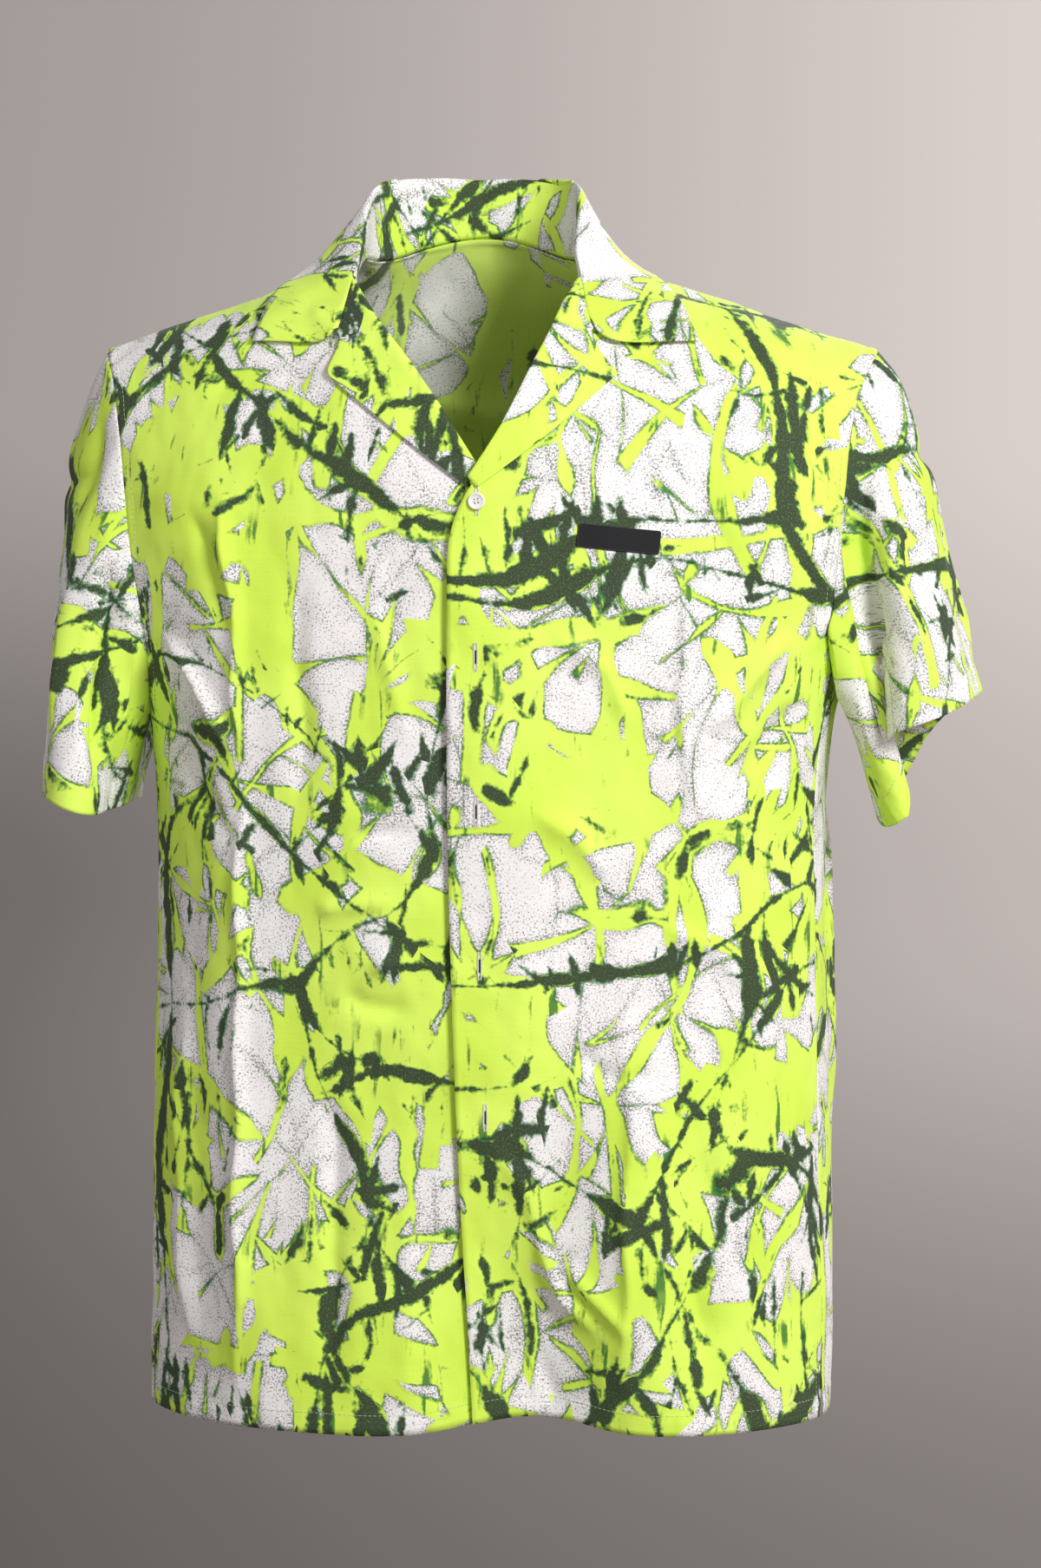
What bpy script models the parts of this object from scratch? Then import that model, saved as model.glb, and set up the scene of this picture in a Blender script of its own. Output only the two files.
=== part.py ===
"""Short-sleeved camp-collar shirt, hollow and open, in the form it takes when it is worn.

Metres, +Z up. The front faces -Y and the wearer's left is +X. The origin is the middle of the neck,
level with the high shoulder points. Every cloth piece is a thin wall laid on one body form, which is
read by two angles: turn goes round the body from the middle front, over goes down from the shoulder.
"""

import math

import bmesh
import bpy
import numpy as np
from mathutils import Vector

# Cloth
WALL = 0.0013  # thickness of every cloth wall
SEAM_GAP = 0.0003  # between pieces sewn edge to edge
EDGE_IN = 0.0004  # each piece's edges are drawn in this far from the seam lines that it shares
LAYER_GAP = 0.0004  # between pieces that lie on each other

# Shoulders and neck
NECK_HALF = 0.0745  # middle to high shoulder point
SHOULDER_TIP = 0.252  # middle to the end of the shoulder seam
SHOULDER_FALL = math.tan(math.radians(18.0))
NECK_RISE = SHOULDER_FALL * NECK_HALF / 2
NAPE_RISE = 0.045  # the back neck stands above the shoulder line
NAPE_DEPTH = 0.068  # how far behind the origin the back neckline lies
DROP = 0.165  # height over which the shoulder rounds into the chest and the back
NECK_LEAN = -0.011  # the neck sits this far towards the wearer's right
LEAN_BOTTOM = -0.150  # the lean dies away down to here
LEAN_REACH = 0.220  # and out to here

# Lengths and edges
HEM_FRONT = -0.756
HEM_SIDE = -0.757
HEM_BACK = -0.762
VENT = 0.050  # slit above the hem at each side seam
VENT_SPREAD = math.radians(2.2)  # how far the front's edge swings forward at the hem
SIDE_SEAM = math.radians(75.7)  # turn of the side seams, a little in front of the side
UNDERARM = {"left": -0.274, "right": -0.300}
ROLL_TOP = -0.014  # where the neckline meets the lapel's roll line
BREAK = -0.166  # where the roll line meets the front edge
OVERLAP = 0.019  # front edge past the button line
LAPPED = 0.0050  # the left front stands this far off the right front
LAP_EASE = (0.026, 0.066)  # x over which the left front comes back to the form
SIDE_SIGN = {"left": 1.0, "right": -1.0}

# Body form: height, half width, depth in front, depth behind. Above the underarm the half width is the
# form's own and the armhole cuts it short.
FORM_N = 2.3
SECTIONS = [
    (-0.78, 0.227, 0.136, 0.130),
    (-0.62, 0.226, 0.133, 0.127),
    (-0.50, 0.223, 0.131, 0.123),
    (-0.40, 0.221, 0.130, 0.121),
    (-0.31, 0.224, 0.129, 0.120),
    (-0.26, 0.237, 0.128, 0.120),
    (-0.20, 0.254, 0.126, 0.121),
    (-0.12, 0.268, 0.124, 0.121),
    (0.00, 0.282, 0.122, 0.120),
    (0.06, 0.286, 0.120, 0.118),
]

# Armhole, from the shoulder tip to the side seam: share of its height, then turn in degrees in front and
# behind. The back's edge goes on under the arm.
ARMHOLE_FRONT = [
    (0.00, 64.8),
    (0.08, 61.6),
    (0.20, 60.3),
    (0.40, 60.6),
    (0.60, 61.6),
    (0.76, 63.8),
    (0.88, 67.6),
    (0.96, 72.2),
    (1.00, 75.7),
]
ARMHOLE_BACK = [
    (0.00, 115.2),
    (0.08, 118.4),
    (0.20, 119.8),
    (0.40, 119.6),
    (0.60, 118.6),
    (0.76, 116.4),
    (0.88, 112.4),
    (0.95, 105.5),
    (0.985, 93.0),
    (1.00, 75.7),
]

# Button line: height, x
BUTTON_LINE = [(-0.78, 0.0175), (-0.55, 0.0085), (-0.35, 0.003), (-0.15, 0.003), (0.05, 0.003)]
TOP_BUTTON = -0.152
BUTTON_STEP = 0.0985
BUTTON_COUNT = 5
BUTTON_RADIUS = 0.0056
BUTTON_THICK = 0.0024

# Label: centre x and z, width, height, thickness, tilt
LABEL = {"x": 0.092, "z": -0.176, "width": 0.052, "height": 0.015, "thick": 0.0010, "tilt": -6.0}

# Largest folds on the body: piece, start x z, end x z, half width, height (+ stands out, - sinks in)
FOLDS = [
    ("front_right", -0.165, -0.150, -0.150, -0.740, 0.020, 0.0060),
    ("front_right", -0.200, -0.260, -0.150, -0.330, 0.014, 0.0045),
    ("front_right", -0.105, -0.452, -0.040, -0.443, 0.014, 0.0035),
    ("front_left", 0.135, -0.230, 0.140, -0.360, 0.018, 0.0050),
    ("front_left", 0.105, -0.500, 0.105, -0.740, 0.022, 0.0060),
    ("front_left", 0.018, -0.560, 0.083, -0.690, 0.013, 0.0055),
    ("front_left", 0.040, -0.350, 0.090, -0.398, 0.014, 0.0035),
    ("back", -0.120, -0.180, -0.135, -0.740, 0.024, 0.0060),
    ("back", 0.110, -0.240, 0.130, -0.740, 0.022, 0.0055),
    ("back", 0.010, -0.420, 0.020, -0.750, 0.028, 0.0050),
    ("back", -0.170, -0.250, -0.080, -0.380, 0.016, 0.0040),
]

# The lower front and back sink in towards each other in the middle
TROUGH_X = 0.034
TROUGH_HALF = 0.052
TROUGH_DEPTH = 0.044
TROUGH_TOP = -0.470
BACK_TROUGH_DEPTH = 0.030
TROUGH_RAISE = 0.008

# Collar, from the middle back to the front end: share of its length, fold x y z, outer edge x y
COLLAR = [
    (0.00, 0.000, 0.071, 0.053, 0.000, 0.084),
    (0.20, 0.034, 0.064, 0.054, 0.042, 0.074),
    (0.40, 0.060, 0.038, 0.053, 0.074, 0.048),
    (0.55, 0.0670, 0.010, 0.045, 0.099, 0.017),
    (0.70, 0.0685, -0.014, 0.028, 0.117, -0.008),
    (0.85, 0.0685, -0.034, 0.008, 0.130, -0.036),
    (1.00, 0.0730, -0.048, -0.0065, 0.143, -0.066),
]
COLLAR_INSET = 0.0030  # from the neckline in to the middle of the collar's stand
COLLAR_LIFT = 0.0036  # middle of the fall above the middle of the cloth under it
COLLAR_ROLL = 0.0045  # radius of the fold along its top
COLLAR_BEND = 0.62  # share of the length from which the fall's middle heads for the notch
COLLAR_SMOOTHING = 3
STAND_ROWS = (0.0, 0.35, 0.70)  # shares of the way from the foot up to the fold
FOLD_ROWS = [(-0.1, -0.7), (0.5, 0.1), (1.3, -0.7)]  # round the fold, in roll radii: away from the neck, up
HPS_SHARE = 0.68  # share of the collar's length from the middle back to the high shoulder point
NOTCH = (0.083, -0.055)  # x and z, where the collar's front edge leaves the lapel
LAPEL_TIP = (0.094, -0.073)
LAPEL_FOOT = (0.0030, -0.1440)  # where the lapel's edge starts, just above the top button
LAPEL_START = 0.17  # share up the roll line where the lapel begins
LAPEL_TOP_GAP = 0.0026  # below the collar's end
LAPEL_BOW = 0.001  # how far its edge stands out past a straight line
NOTCH_SHARE = 0.62  # share of the lapel's top edge that lies under the collar's end
PRESSED = 0.6  # how much flatter the lapel's roll is at its lower end
LAPEL_LIFT = 0.0022
# The lapel's roll, from the front's edge round to the lying part: distance from the edge, lift
LAPEL_ROLL = [(-0.0016, 0.0), (-0.0031, 0.0009), (-0.0033, 0.0023), (-0.0017, 0.0038), (0.0012, 0.0042)]

# Cuffs, round the sleeve from the underarm through the front: x, y, z
CUFF_HANGING = [
    (0.2405, -0.004, -0.357),
    (0.2440, -0.048, -0.360),
    (0.2520, -0.082, -0.360),
    (0.2680, -0.092, -0.356),
    (0.2830, -0.076, -0.349),
    (0.2910, -0.040, -0.343),
    (0.2940, 0.004, -0.341),
    (0.2910, 0.048, -0.344),
    (0.2830, 0.083, -0.351),
    (0.2660, 0.096, -0.359),
    (0.2500, 0.082, -0.363),
    (0.2430, 0.042, -0.361),
]
CUFF_FLARED = [
    (0.2560, 0.004, -0.366),
    (0.2590, -0.034, -0.367),
    (0.2700, -0.056, -0.364),
    (0.2780, -0.050, -0.350),
    (0.2690, -0.030, -0.326),
    (0.2620, -0.056, -0.309),
    (0.2720, -0.084, -0.300),
    (0.2960, -0.078, -0.292),
    (0.3160, -0.044, -0.284),
    (0.3230, 0.002, -0.281),
    (0.3170, 0.048, -0.290),
    (0.3020, 0.080, -0.302),
    (0.2860, 0.088, -0.322),
    (0.2740, 0.070, -0.345),
    (0.2620, 0.038, -0.360),
]
CUFFS = {"left": CUFF_FLARED, "right": CUFF_HANGING}
SLEEVE_STEP = 0.0008  # from the armhole's edge out to the sleeve's
UNDERARM_STEP = 0.0021  # more of it under the arm, where both cloths turn
UNDERARM_EASE = 0.05  # height above the underarm over which that dies away
SLEEVE_BULGE = (0.013, 0.0, 0.0045)  # how far the sleeve head stands out past a straight line
SLEEVE_FOLDS = {  # share round from the underarm, half width in shares, depth at the cuff end
    "left": [(0.86, 0.030, 0.006), (0.62, 0.035, -0.004)],
    "right": [(0.13, 0.030, -0.009), (0.30, 0.030, 0.004), (0.74, 0.035, -0.006)],
}

# Grid counts: across by along
FRONT_GRID = (16, 28)
BACK_GRID = (30, 26)
BACK_NECK_COLUMNS = 12
SLEEVE_GRID = (36, 12)
COLLAR_GRID = (34, 9)
LAPEL_GRID = (9, 10)
LABEL_GRID = (6, 2)
FINE = 60  # points read along an armhole's edge before the sleeve's columns are spread over it

COLOURS = {  # base colour, roughness
    "cloth": ((0.50, 0.90, 0.06, 1.0), 0.75),
    "collar": ((0.62, 0.92, 0.20, 1.0), 0.75),
    "label": ((0.04, 0.04, 0.045, 1.0), 0.85),
    "button": ((0.90, 0.90, 0.86, 1.0), 0.30),
}


# ---- Reading tables ----------------------------------------------------------------------------


def smooth_step(value, low, high):
    share = np.clip((value - low) / (high - low), 0.0, 1.0)
    return share * share * (3.0 - 2.0 * share)


def read_column(table, column, at):
    """One column of a table whose first column rises, read with smooth slopes between its rows."""
    keys = np.array([row[0] for row in table], float)
    values = np.array([row[column] for row in table], float)
    slopes = np.gradient(values, keys)
    at = np.clip(np.asarray(at, float), keys[0], keys[-1])
    i = np.clip(np.searchsorted(keys, at, side="right") - 1, 0, len(keys) - 2)
    step = keys[i + 1] - keys[i]
    t = (at - keys[i]) / step
    rise = values[i] * (1 + 2 * t) * (1 - t) ** 2 + values[i + 1] * t**2 * (3 - 2 * t)
    return rise + step * (slopes[i] * t * (1 - t) ** 2 - slopes[i + 1] * t**2 * (1 - t))


def bend_between(a, b, c, d, steps=12):
    """Points from b up to c on the smooth curve that also heeds their neighbours a and d."""
    t = np.linspace(0, 1, steps, endpoint=False)[:, None]
    return b + 0.5 * t * (c - a + t * (2 * a - 5 * b + 4 * c - d + t * (3 * b - a - 3 * c + d)))


def smooth_line(points):
    """A smooth open line through the points."""
    p = np.array([points[0], *points, points[-1]], float)
    parts = [bend_between(*p[i : i + 4]) for i in range(len(p) - 3)]
    return np.concatenate(parts + [p[-1:]])


def closed_curve(points, count):
    """Evenly spaced points on a smooth closed curve through a few corner points."""
    p = np.array([points[-1], *points, points[0], points[1]], float)
    fine = np.concatenate([bend_between(*p[i : i + 4]) for i in range(len(points))])
    return spread_evenly(np.concatenate([fine, fine[:1]]), count + 1)[:-1]


def spread_evenly(line, count):
    """The same line, read again at equal steps of its length in x, y and z, which are its first columns."""
    steps = np.linalg.norm(np.diff(line[:, :3], axis=0), axis=1)
    along = np.concatenate([[0.0], np.cumsum(steps)])
    want = np.linspace(0.0, along[-1], count)
    return np.stack([np.interp(want, along, line[:, k]) for k in range(line.shape[1])], axis=1)


# ---- Body form ---------------------------------------------------------------------------------


def shoulder_line(x):
    reach = np.abs(x) / NECK_HALF
    inner = NECK_RISE * (1 - reach**2)
    outer = -SHOULDER_FALL * (np.abs(x) - NECK_HALF)
    return np.where(reach > 1.0, outer, inner)


def nape_height(x, over, back):
    """The back neck stands up from the shoulder line, and this dies away down the back."""
    swell = np.clip(1 - (x / NECK_HALF) ** 2, 0.0, None) ** 2
    return np.where(back, NAPE_RISE * swell * np.cos(np.minimum(over, math.pi / 2)) ** 2, 0.0)


def depth_at(z, back):
    return np.where(back, read_column(SECTIONS, 3, z), read_column(SECTIONS, 2, z))


def over_at(x, z):
    """The angle down from the shoulder of the point of the form at this x and z."""
    down = np.clip((shoulder_line(x) - z) / DROP, 0.0, None)
    rounded = np.arccos(np.clip(1 - down, 0.0, 1.0))
    return np.where(down < 1.0, rounded, math.pi / 2 + down - 1)


def turn_at_x(x, z):
    """The angle round from the middle front of the front point at this x and z."""
    share = np.clip(np.abs(x) / read_column(SECTIONS, 1, z), 0.0, 1.0)
    return np.sign(x) * np.arcsin(share ** (FORM_N / 2))


def form_point(turn, over):
    """Points of the body form, from the angle round the body and the angle down from the shoulder."""
    turn, over = np.broadcast_arrays(np.asarray(turn, float), np.asarray(over, float))
    back = np.cos(turn) < 0
    fall = np.where(over < math.pi / 2, 1 - np.cos(over), over - math.pi / 2 + 1)
    sideways = np.sign(np.sin(turn)) * np.abs(np.sin(turn)) ** (2 / FORM_N)
    forward = np.abs(np.cos(turn)) ** (2 / FORM_N)
    z = -DROP * fall
    for _ in range(8):
        x = read_column(SECTIONS, 1, z) * sideways
        z = shoulder_line(x) - DROP * fall
    z = z + nape_height(x, over, back)
    y = np.where(back, 1.0, -1.0) * depth_at(z, back) * forward * np.sin(np.minimum(over, math.pi / 2))
    return np.stack([x, y, z], axis=-1)


def top_point(x, y):
    """Points of the form's upper side over this x and y."""
    back = y > 0
    z = shoulder_line(x)
    for _ in range(12):
        turn = turn_at_x(x, z)
        forward = np.abs(np.cos(turn)) ** (2 / FORM_N)
        over = np.arcsin(np.clip(np.abs(y) / (depth_at(z, back) * forward), 0.0, 0.995))
        z = shoulder_line(x) - DROP * (1 - np.cos(over))
    return np.stack(np.broadcast_arrays(x, y, z + nape_height(x, over, back)), axis=-1)


def unit(vectors):
    return vectors / np.maximum(np.linalg.norm(vectors, axis=-1, keepdims=True), 1e-12)


def lifted(surface, a, b, lift, outward, step=0.002):
    """Points of surface(a, b) moved out along its normal, on the side where outward points."""
    across = surface(a + step, b) - surface(a - step, b)
    along = surface(a, b + step) - surface(a, b - step)
    normal = unit(np.cross(across, along))
    normal = normal * np.sign(np.sum(normal * np.array(outward), axis=-1, keepdims=True))
    return surface(a, b) + normal * np.asarray(lift)[..., None], normal


def fold_height(piece, x, z):
    """How far the folds of this piece lift its cloth at x and z."""
    height = np.zeros_like(np.asarray(x, float))
    for name, x0, z0, x1, z1, half, rise in FOLDS:
        if name != piece:
            continue
        run_x, run_z = x1 - x0, z1 - z0
        length = math.hypot(run_x, run_z)
        along = ((x - x0) * run_x + (z - z0) * run_z) / length
        off = ((x - x0) * run_z - (z - z0) * run_x) / length
        ends = smooth_step(along, -half, 2 * half) * (1 - smooth_step(along, length - half, length + half))
        height = height + rise * np.exp(-((off / half) ** 2)) * ends
    return height


def normals_of(grid):
    return unit(np.cross(np.gradient(grid, axis=0), np.gradient(grid, axis=1)))


def settled(piece, grid, outward):
    """The grid with the piece's folds raised along its normals, and its hem sunk in the middle."""
    normals = normals_of(grid) * outward
    grid = grid + normals * fold_height(piece, grid[..., 0], grid[..., 2])[..., None]
    return sunk_between(grid)


def sunk_between(points):
    """The points moved in, and a little up, where the lower front and back sink in the middle."""
    x, y, z = np.moveaxis(points, -1, 0)
    sunk = np.exp(-(((x - TROUGH_X) / TROUGH_HALF) ** 2)) * (1 - smooth_step(z, HEM_FRONT, TROUGH_TOP)) ** 1.3
    y = y + sunk * np.where(y > 0, -BACK_TROUGH_DEPTH, TROUGH_DEPTH)
    return np.stack([x, y, z + TROUGH_RAISE * sunk], axis=-1)


# ---- Edges of the body pieces ------------------------------------------------------------------


def armhole_edge(side, back, count):
    """x, y, z, turn and over from the shoulder tip down to the side seam, in front or behind, at +X."""
    tip = float(shoulder_line(SHOULDER_TIP))
    share, turn = smooth_line(ARMHOLE_BACK if back else ARMHOLE_FRONT).T
    turn = np.radians(turn)
    z = tip + share * (UNDERARM[side] - tip)
    x = read_column(SECTIONS, 1, z) * np.sin(turn) ** (2 / FORM_N)
    over = over_at(x, z)
    return spread_evenly(np.column_stack([form_point(turn, over), turn, over]), count)


def outer_edge(side, back, upper, lower):
    """turn and over down the armhole and then down the side seam, for the +X side."""
    armhole = armhole_edge(side, back, upper + 1)
    z = np.linspace(armhole[-1, 2], HEM_SIDE, lower + 1)[1:]
    swing = (1 - smooth_step(z, HEM_SIDE, HEM_SIDE + VENT)) * VENT_SPREAD
    turn = SIDE_SEAM - (0.0 if back else 1.0) * swing
    over = over_at(read_column(SECTIONS, 1, z) * np.sin(turn) ** (2 / FORM_N), z)
    return np.concatenate([armhole[:, 3], turn]), np.concatenate([armhole[:, 4], over])


def hem_at(turn):
    middle = np.where(np.cos(turn) < 0, HEM_BACK, HEM_FRONT)
    return middle + (HEM_SIDE - middle) * np.abs(np.sin(turn)) ** 4


def level_hem(turn, over):
    """The last row of a body piece brought to the hem's height."""
    x = form_point(turn[-1], over[-1])[:, 0]
    over[-1] = over_at(x, hem_at(turn[-1]))
    return form_point(turn, over)


def inner_x(side, z):
    """The front's inner edge: neckline, roll line and front edge, measured towards its own side."""
    edge = SIDE_SIGN[side] * read_column(BUTTON_LINE, 1, z) - OVERLAP
    at_break = SIDE_SIGN[side] * read_column(BUTTON_LINE, 1, BREAK) - OVERLAP
    share = np.clip((z - BREAK) / (ROLL_TOP - BREAK), 0.0, 1.0)
    return np.where(z < BREAK, edge, at_break + share * (NECK_HALF - at_break))


def mirrored(points, side):
    return points * np.array([SIDE_SIGN[side], 1.0, 1.0])


def lap_height(side, x):
    """How far the left front stands off the right one where they lap."""
    return LAPPED * (1 - smooth_step(x, *LAP_EASE)) if side == "left" else np.zeros_like(x)


# ---- Cloth pieces ------------------------------------------------------------------------------


def front_grid(side):
    """Points of one front, rows from the shoulder seam to the hem."""
    columns, rows = FRONT_GRID
    upper = rows // 2
    turn_out, over_out = outer_edge(side, False, upper, rows - upper)
    outer_z = form_point(turn_out, over_out)[:, 2]
    raise_top = -outer_z[0] * (1 - smooth_step(np.arange(rows + 1), 0, upper))
    inner_z = outer_z + raise_top
    x = inner_x(side, inner_z)
    share = np.linspace(0.0, 1.0, columns + 1)[None, :]
    turn = turn_at_x(x, inner_z)[:, None] * (1 - share) + turn_out[:, None] * share
    over = over_at(x, inner_z)[:, None] * (1 - share) + over_out[:, None] * share
    grid = level_hem(turn, over)
    grid = grid + normals_of(grid) * lap_height(side, grid[..., 0])[..., None]
    return settled("front_" + side, mirrored(grid, side), SIDE_SIGN[side])


def front_surface(side):
    """A front's surface as a function of x, measured towards its own side, and z."""

    def surface(x, z):
        base = form_point(turn_at_x(x, z), over_at(x, z))
        fold = fold_height("front_" + side, x * SIDE_SIGN[side], z)
        base[..., 1] -= lap_height(side, x) + fold
        return mirrored(sunk_between(mirrored(base, side)), side)

    return surface


def back_grid():
    """Points of the back from the -X side to the +X side, rows from the shoulders to the hem."""
    columns, rows = BACK_GRID
    upper = rows // 2
    neck = BACK_NECK_COLUMNS // 2
    round_neck = NECK_HALF * np.sin(np.linspace(-0.5, 0.5, 2 * neck + 1) * math.pi)
    shoulder = np.linspace(NECK_HALF, SHOULDER_TIP, columns // 2 - neck + 1)[1:]
    x_top = np.concatenate([-shoulder[::-1], round_neck, shoulder])
    z_top = shoulder_line(x_top)
    around = math.pi - turn_at_x(x_top, z_top)
    down = np.linspace(0.0, 1.0, rows + 1)[:, None]
    top_share = ((around - around[0]) / (around[-1] - around[0]))[None, :]
    even_share = np.linspace(0.0, 1.0, columns + 1)[None, :]
    share = top_share + (even_share - top_share) * smooth_step(down, 0.0, 0.5)
    turn_left, over_left = outer_edge("left", True, upper, rows - upper)
    turn_right, over_right = outer_edge("right", True, upper, rows - upper)
    turn = (2 * math.pi - turn_right)[:, None] * (1 - share) + turn_left[:, None] * share
    neck_y = NAPE_DEPTH * np.sqrt(np.clip(1 - (x_top / NECK_HALF) ** 2, 0.0, None))
    over_top = np.arcsin(neck_y / depth_at(0.0, True))
    middle = over_top[None, :] + (over_left[-1] - over_top[None, :]) * down
    edges = over_right[:, None] * (1 - share) + over_left[:, None] * share
    near_edge = (2 * share - 1) ** 2
    over = middle * (1 - near_edge) + edges * near_edge
    over[0] = over_top
    return settled("back", level_hem(turn, over), 1.0)


def sleeve_grid(side):
    """Points of one sleeve, rows from the armhole to the cuff, columns round from the underarm."""
    columns, rows = SLEEVE_GRID
    loop = [armhole_edge(side, False, FINE)[::-1], armhole_edge(side, True, FINE)[1:]]
    armhole = spread_evenly(np.concatenate(loop), columns + 1)[:, :3]
    low = 1 - smooth_step(armhole[:, 2], UNDERARM[side], UNDERARM[side] + UNDERARM_EASE)
    armhole[:, 0] += SLEEVE_STEP + low * UNDERARM_STEP
    cuff = closed_curve(CUFFS[side], columns)
    cuff = np.concatenate([cuff, cuff[:1]])
    share = np.linspace(0.0, 1.0, columns + 1)[None, :, None]
    down = np.linspace(0.0, 1.0, rows + 1)[:, None, None]
    grid = armhole[None] * (1 - down) + cuff[None] * down
    head = (0.5 - 0.5 * np.cos(2 * math.pi * share)) ** 1.5
    grid = grid + np.sin(math.pi * down**0.6) * head * np.array(SLEEVE_BULGE)
    outward = unit(grid - grid.mean(axis=1, keepdims=True))
    for middle, half, depth in SLEEVE_FOLDS[side]:
        grid = grid + outward * depth * down * np.exp(-(((share - middle) / half) ** 2))
    return mirrored(grid, side)


def neckline(share):
    """The neck edge from the middle back (0) round the +X side to the roll line (1)."""
    angle = np.clip(share / HPS_SHARE, 0.0, 1.0) * math.pi / 2
    x = NECK_HALF * np.sin(angle)
    y = NAPE_DEPTH * np.cos(angle)
    behind = top_point(x, np.maximum(y, 1e-6))
    z = ROLL_TOP * np.clip((share - HPS_SHARE) / (1 - HPS_SHARE), 0.0, 1.0)
    before = form_point(turn_at_x(np.full_like(z, NECK_HALF), z), over_at(NECK_HALF, z))
    return np.where((share < HPS_SHARE)[:, None], behind, before)


def collar_half():
    """Profiles of half the collar: stand, fold and fall, from the middle back to the front end."""
    columns, rows = COLLAR_GRID
    share = np.linspace(0.0, 1.0, columns // 2 + 1)
    up = np.array([0.0, 0.0, 1.0])
    level = np.array([1.0, 1.0, 0.0])
    edge = neckline(share)
    foot = edge - unit(edge * level) * COLLAR_INSET + up * SEAM_GAP
    fold = np.stack([read_column(COLLAR, k, share) for k in (1, 2, 3)], axis=-1)
    out_x, out_y = (read_column(COLLAR, k, share) for k in (4, 5))
    outer, _ = lifted(top_point, out_x, out_y, np.full_like(out_x, COLLAR_LIFT), (0, 0, 1))
    notch_place = (np.array([NOTCH[0]]), np.array([NOTCH[1]]))
    notch, _ = lifted(front_surface("right"), *notch_place, [COLLAR_LIFT], (0, -1, 0))
    corner = smooth_step(share, COLLAR_BEND, 1.0)[:, None] ** 1.5
    middle = (fold + outer) / 2 * (1 - corner) + notch * corner
    away = unit((middle - fold) * level)
    roll = np.minimum(COLLAR_ROLL, 0.35 * np.linalg.norm(fold - foot, axis=1, keepdims=True))
    profile = [foot + (fold - foot) * t for t in STAND_ROWS]
    profile += [fold + (away * aside + up * rise) * roll for aside, rise in FOLD_ROWS]
    start = profile[-1]
    for t in np.linspace(0.0, 1.0, rows - len(profile) + 2)[1:]:
        bent = (1 - t) ** 2 * start + 2 * t * (1 - t) * middle + t**2 * outer
        sharp = start + (middle - start) * min(2 * t, 1.0) + (outer - middle) * max(2 * t - 1, 0.0)
        profile.append(bent * (1 - corner) + sharp * corner)
    return np.stack(profile, axis=1)


def keep_clear(fall):
    """Points of the collar's fall that would sink into the shoulder are moved out of it."""
    base, normal = lifted(top_point, fall[..., 0], fall[..., 1], np.zeros(fall.shape[:2]), (0, 0, 1))
    height = (fall[..., 2] - base[..., 2]) * normal[..., 2]
    return fall + normal * np.clip(COLLAR_LIFT - height, 0.0, None)[..., None]


def collar_grid():
    """The whole collar, with its fall clear of the shoulders and evened out along its length."""
    half = collar_half()
    stand_rows = len(STAND_ROWS) + len(FOLD_ROWS) - 1
    half[:, stand_rows:] = keep_clear(half[:, stand_rows:])
    grid = np.concatenate([half[:0:-1] * np.array([-1.0, 1.0, 1.0]), half])
    fall = grid[:, stand_rows:]
    for _ in range(COLLAR_SMOOTHING):
        fall[1:-1] = (fall[:-2] + 2 * fall[1:-1] + fall[2:]) / 4
    grid[:, stand_rows:] = keep_clear(fall)
    return grid


def lapel_grid(side):
    """A front's own points turned out at the roll line and laid back on it, rows up from the break."""
    columns, rows = LAPEL_GRID
    share = np.linspace(LAPEL_START, 1.0, rows + 1)
    roll_z = BREAK + share * (ROLL_TOP - LAPEL_TOP_GAP - BREAK)
    roll = np.stack([inner_x(side, roll_z), roll_z], axis=1)
    foot = np.array(LAPEL_FOOT)
    up = np.linspace(0.0, 1.0, rows + 1)[:, None]
    edge = foot + (np.array(LAPEL_TIP) - foot) * up
    edge = edge + np.sin(math.pi * up) * LAPEL_BOW * np.array([0.6, -0.8])
    notch = np.array([NOTCH[0], NOTCH[1] - LAPEL_TOP_GAP])
    reach = np.linalg.norm(edge - roll, axis=1, keepdims=True)
    aside = (edge - roll) / reach
    top = [roll[-1], notch, edge[-1]]
    low = 1 - smooth_step(up[:, 0], 0.1, 0.7)
    grid = []
    for off, lift in LAPEL_ROLL:
        above = max(lift - LAPEL_LIFT, 0.0)
        grid.append((roll + aside * off, lift - above * PRESSED * low))
    for t in np.linspace(0.0, 1.0, columns - len(LAPEL_ROLL) + 2)[1:]:
        flat = roll + (edge - roll) * t
        gorge = np.array([np.interp(t, [0.0, NOTCH_SHARE, 1.0], [p[k] for p in top]) for k in (0, 1)])
        flat = flat + (gorge - flat[-1]) * up**5
        grid.append((flat, np.full(rows + 1, LAPEL_LIFT)))
    surface = front_surface(side)
    points = [lifted(surface, place[:, 0], place[:, 1], lift, (0, -1, 0))[0] for place, lift in grid]
    return mirrored(np.stack(points, axis=1), side)


def label_grid():
    columns, rows = LABEL_GRID
    across, up = np.meshgrid(np.linspace(-0.5, 0.5, columns + 1), np.linspace(0.5, -0.5, rows + 1))
    across, up = across * LABEL["width"], up * LABEL["height"]
    tilt = math.radians(LABEL["tilt"])
    x = LABEL["x"] + across * math.cos(tilt) - up * math.sin(tilt)
    z = LABEL["z"] + across * math.sin(tilt) + up * math.cos(tilt)
    lift = np.full_like(x, (WALL + LABEL["thick"]) / 2 + 2 * LAYER_GAP)
    return lifted(front_surface("left"), x, z, lift, (0, -1, 0))[0]


# ---- Objects -----------------------------------------------------------------------------------


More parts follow.
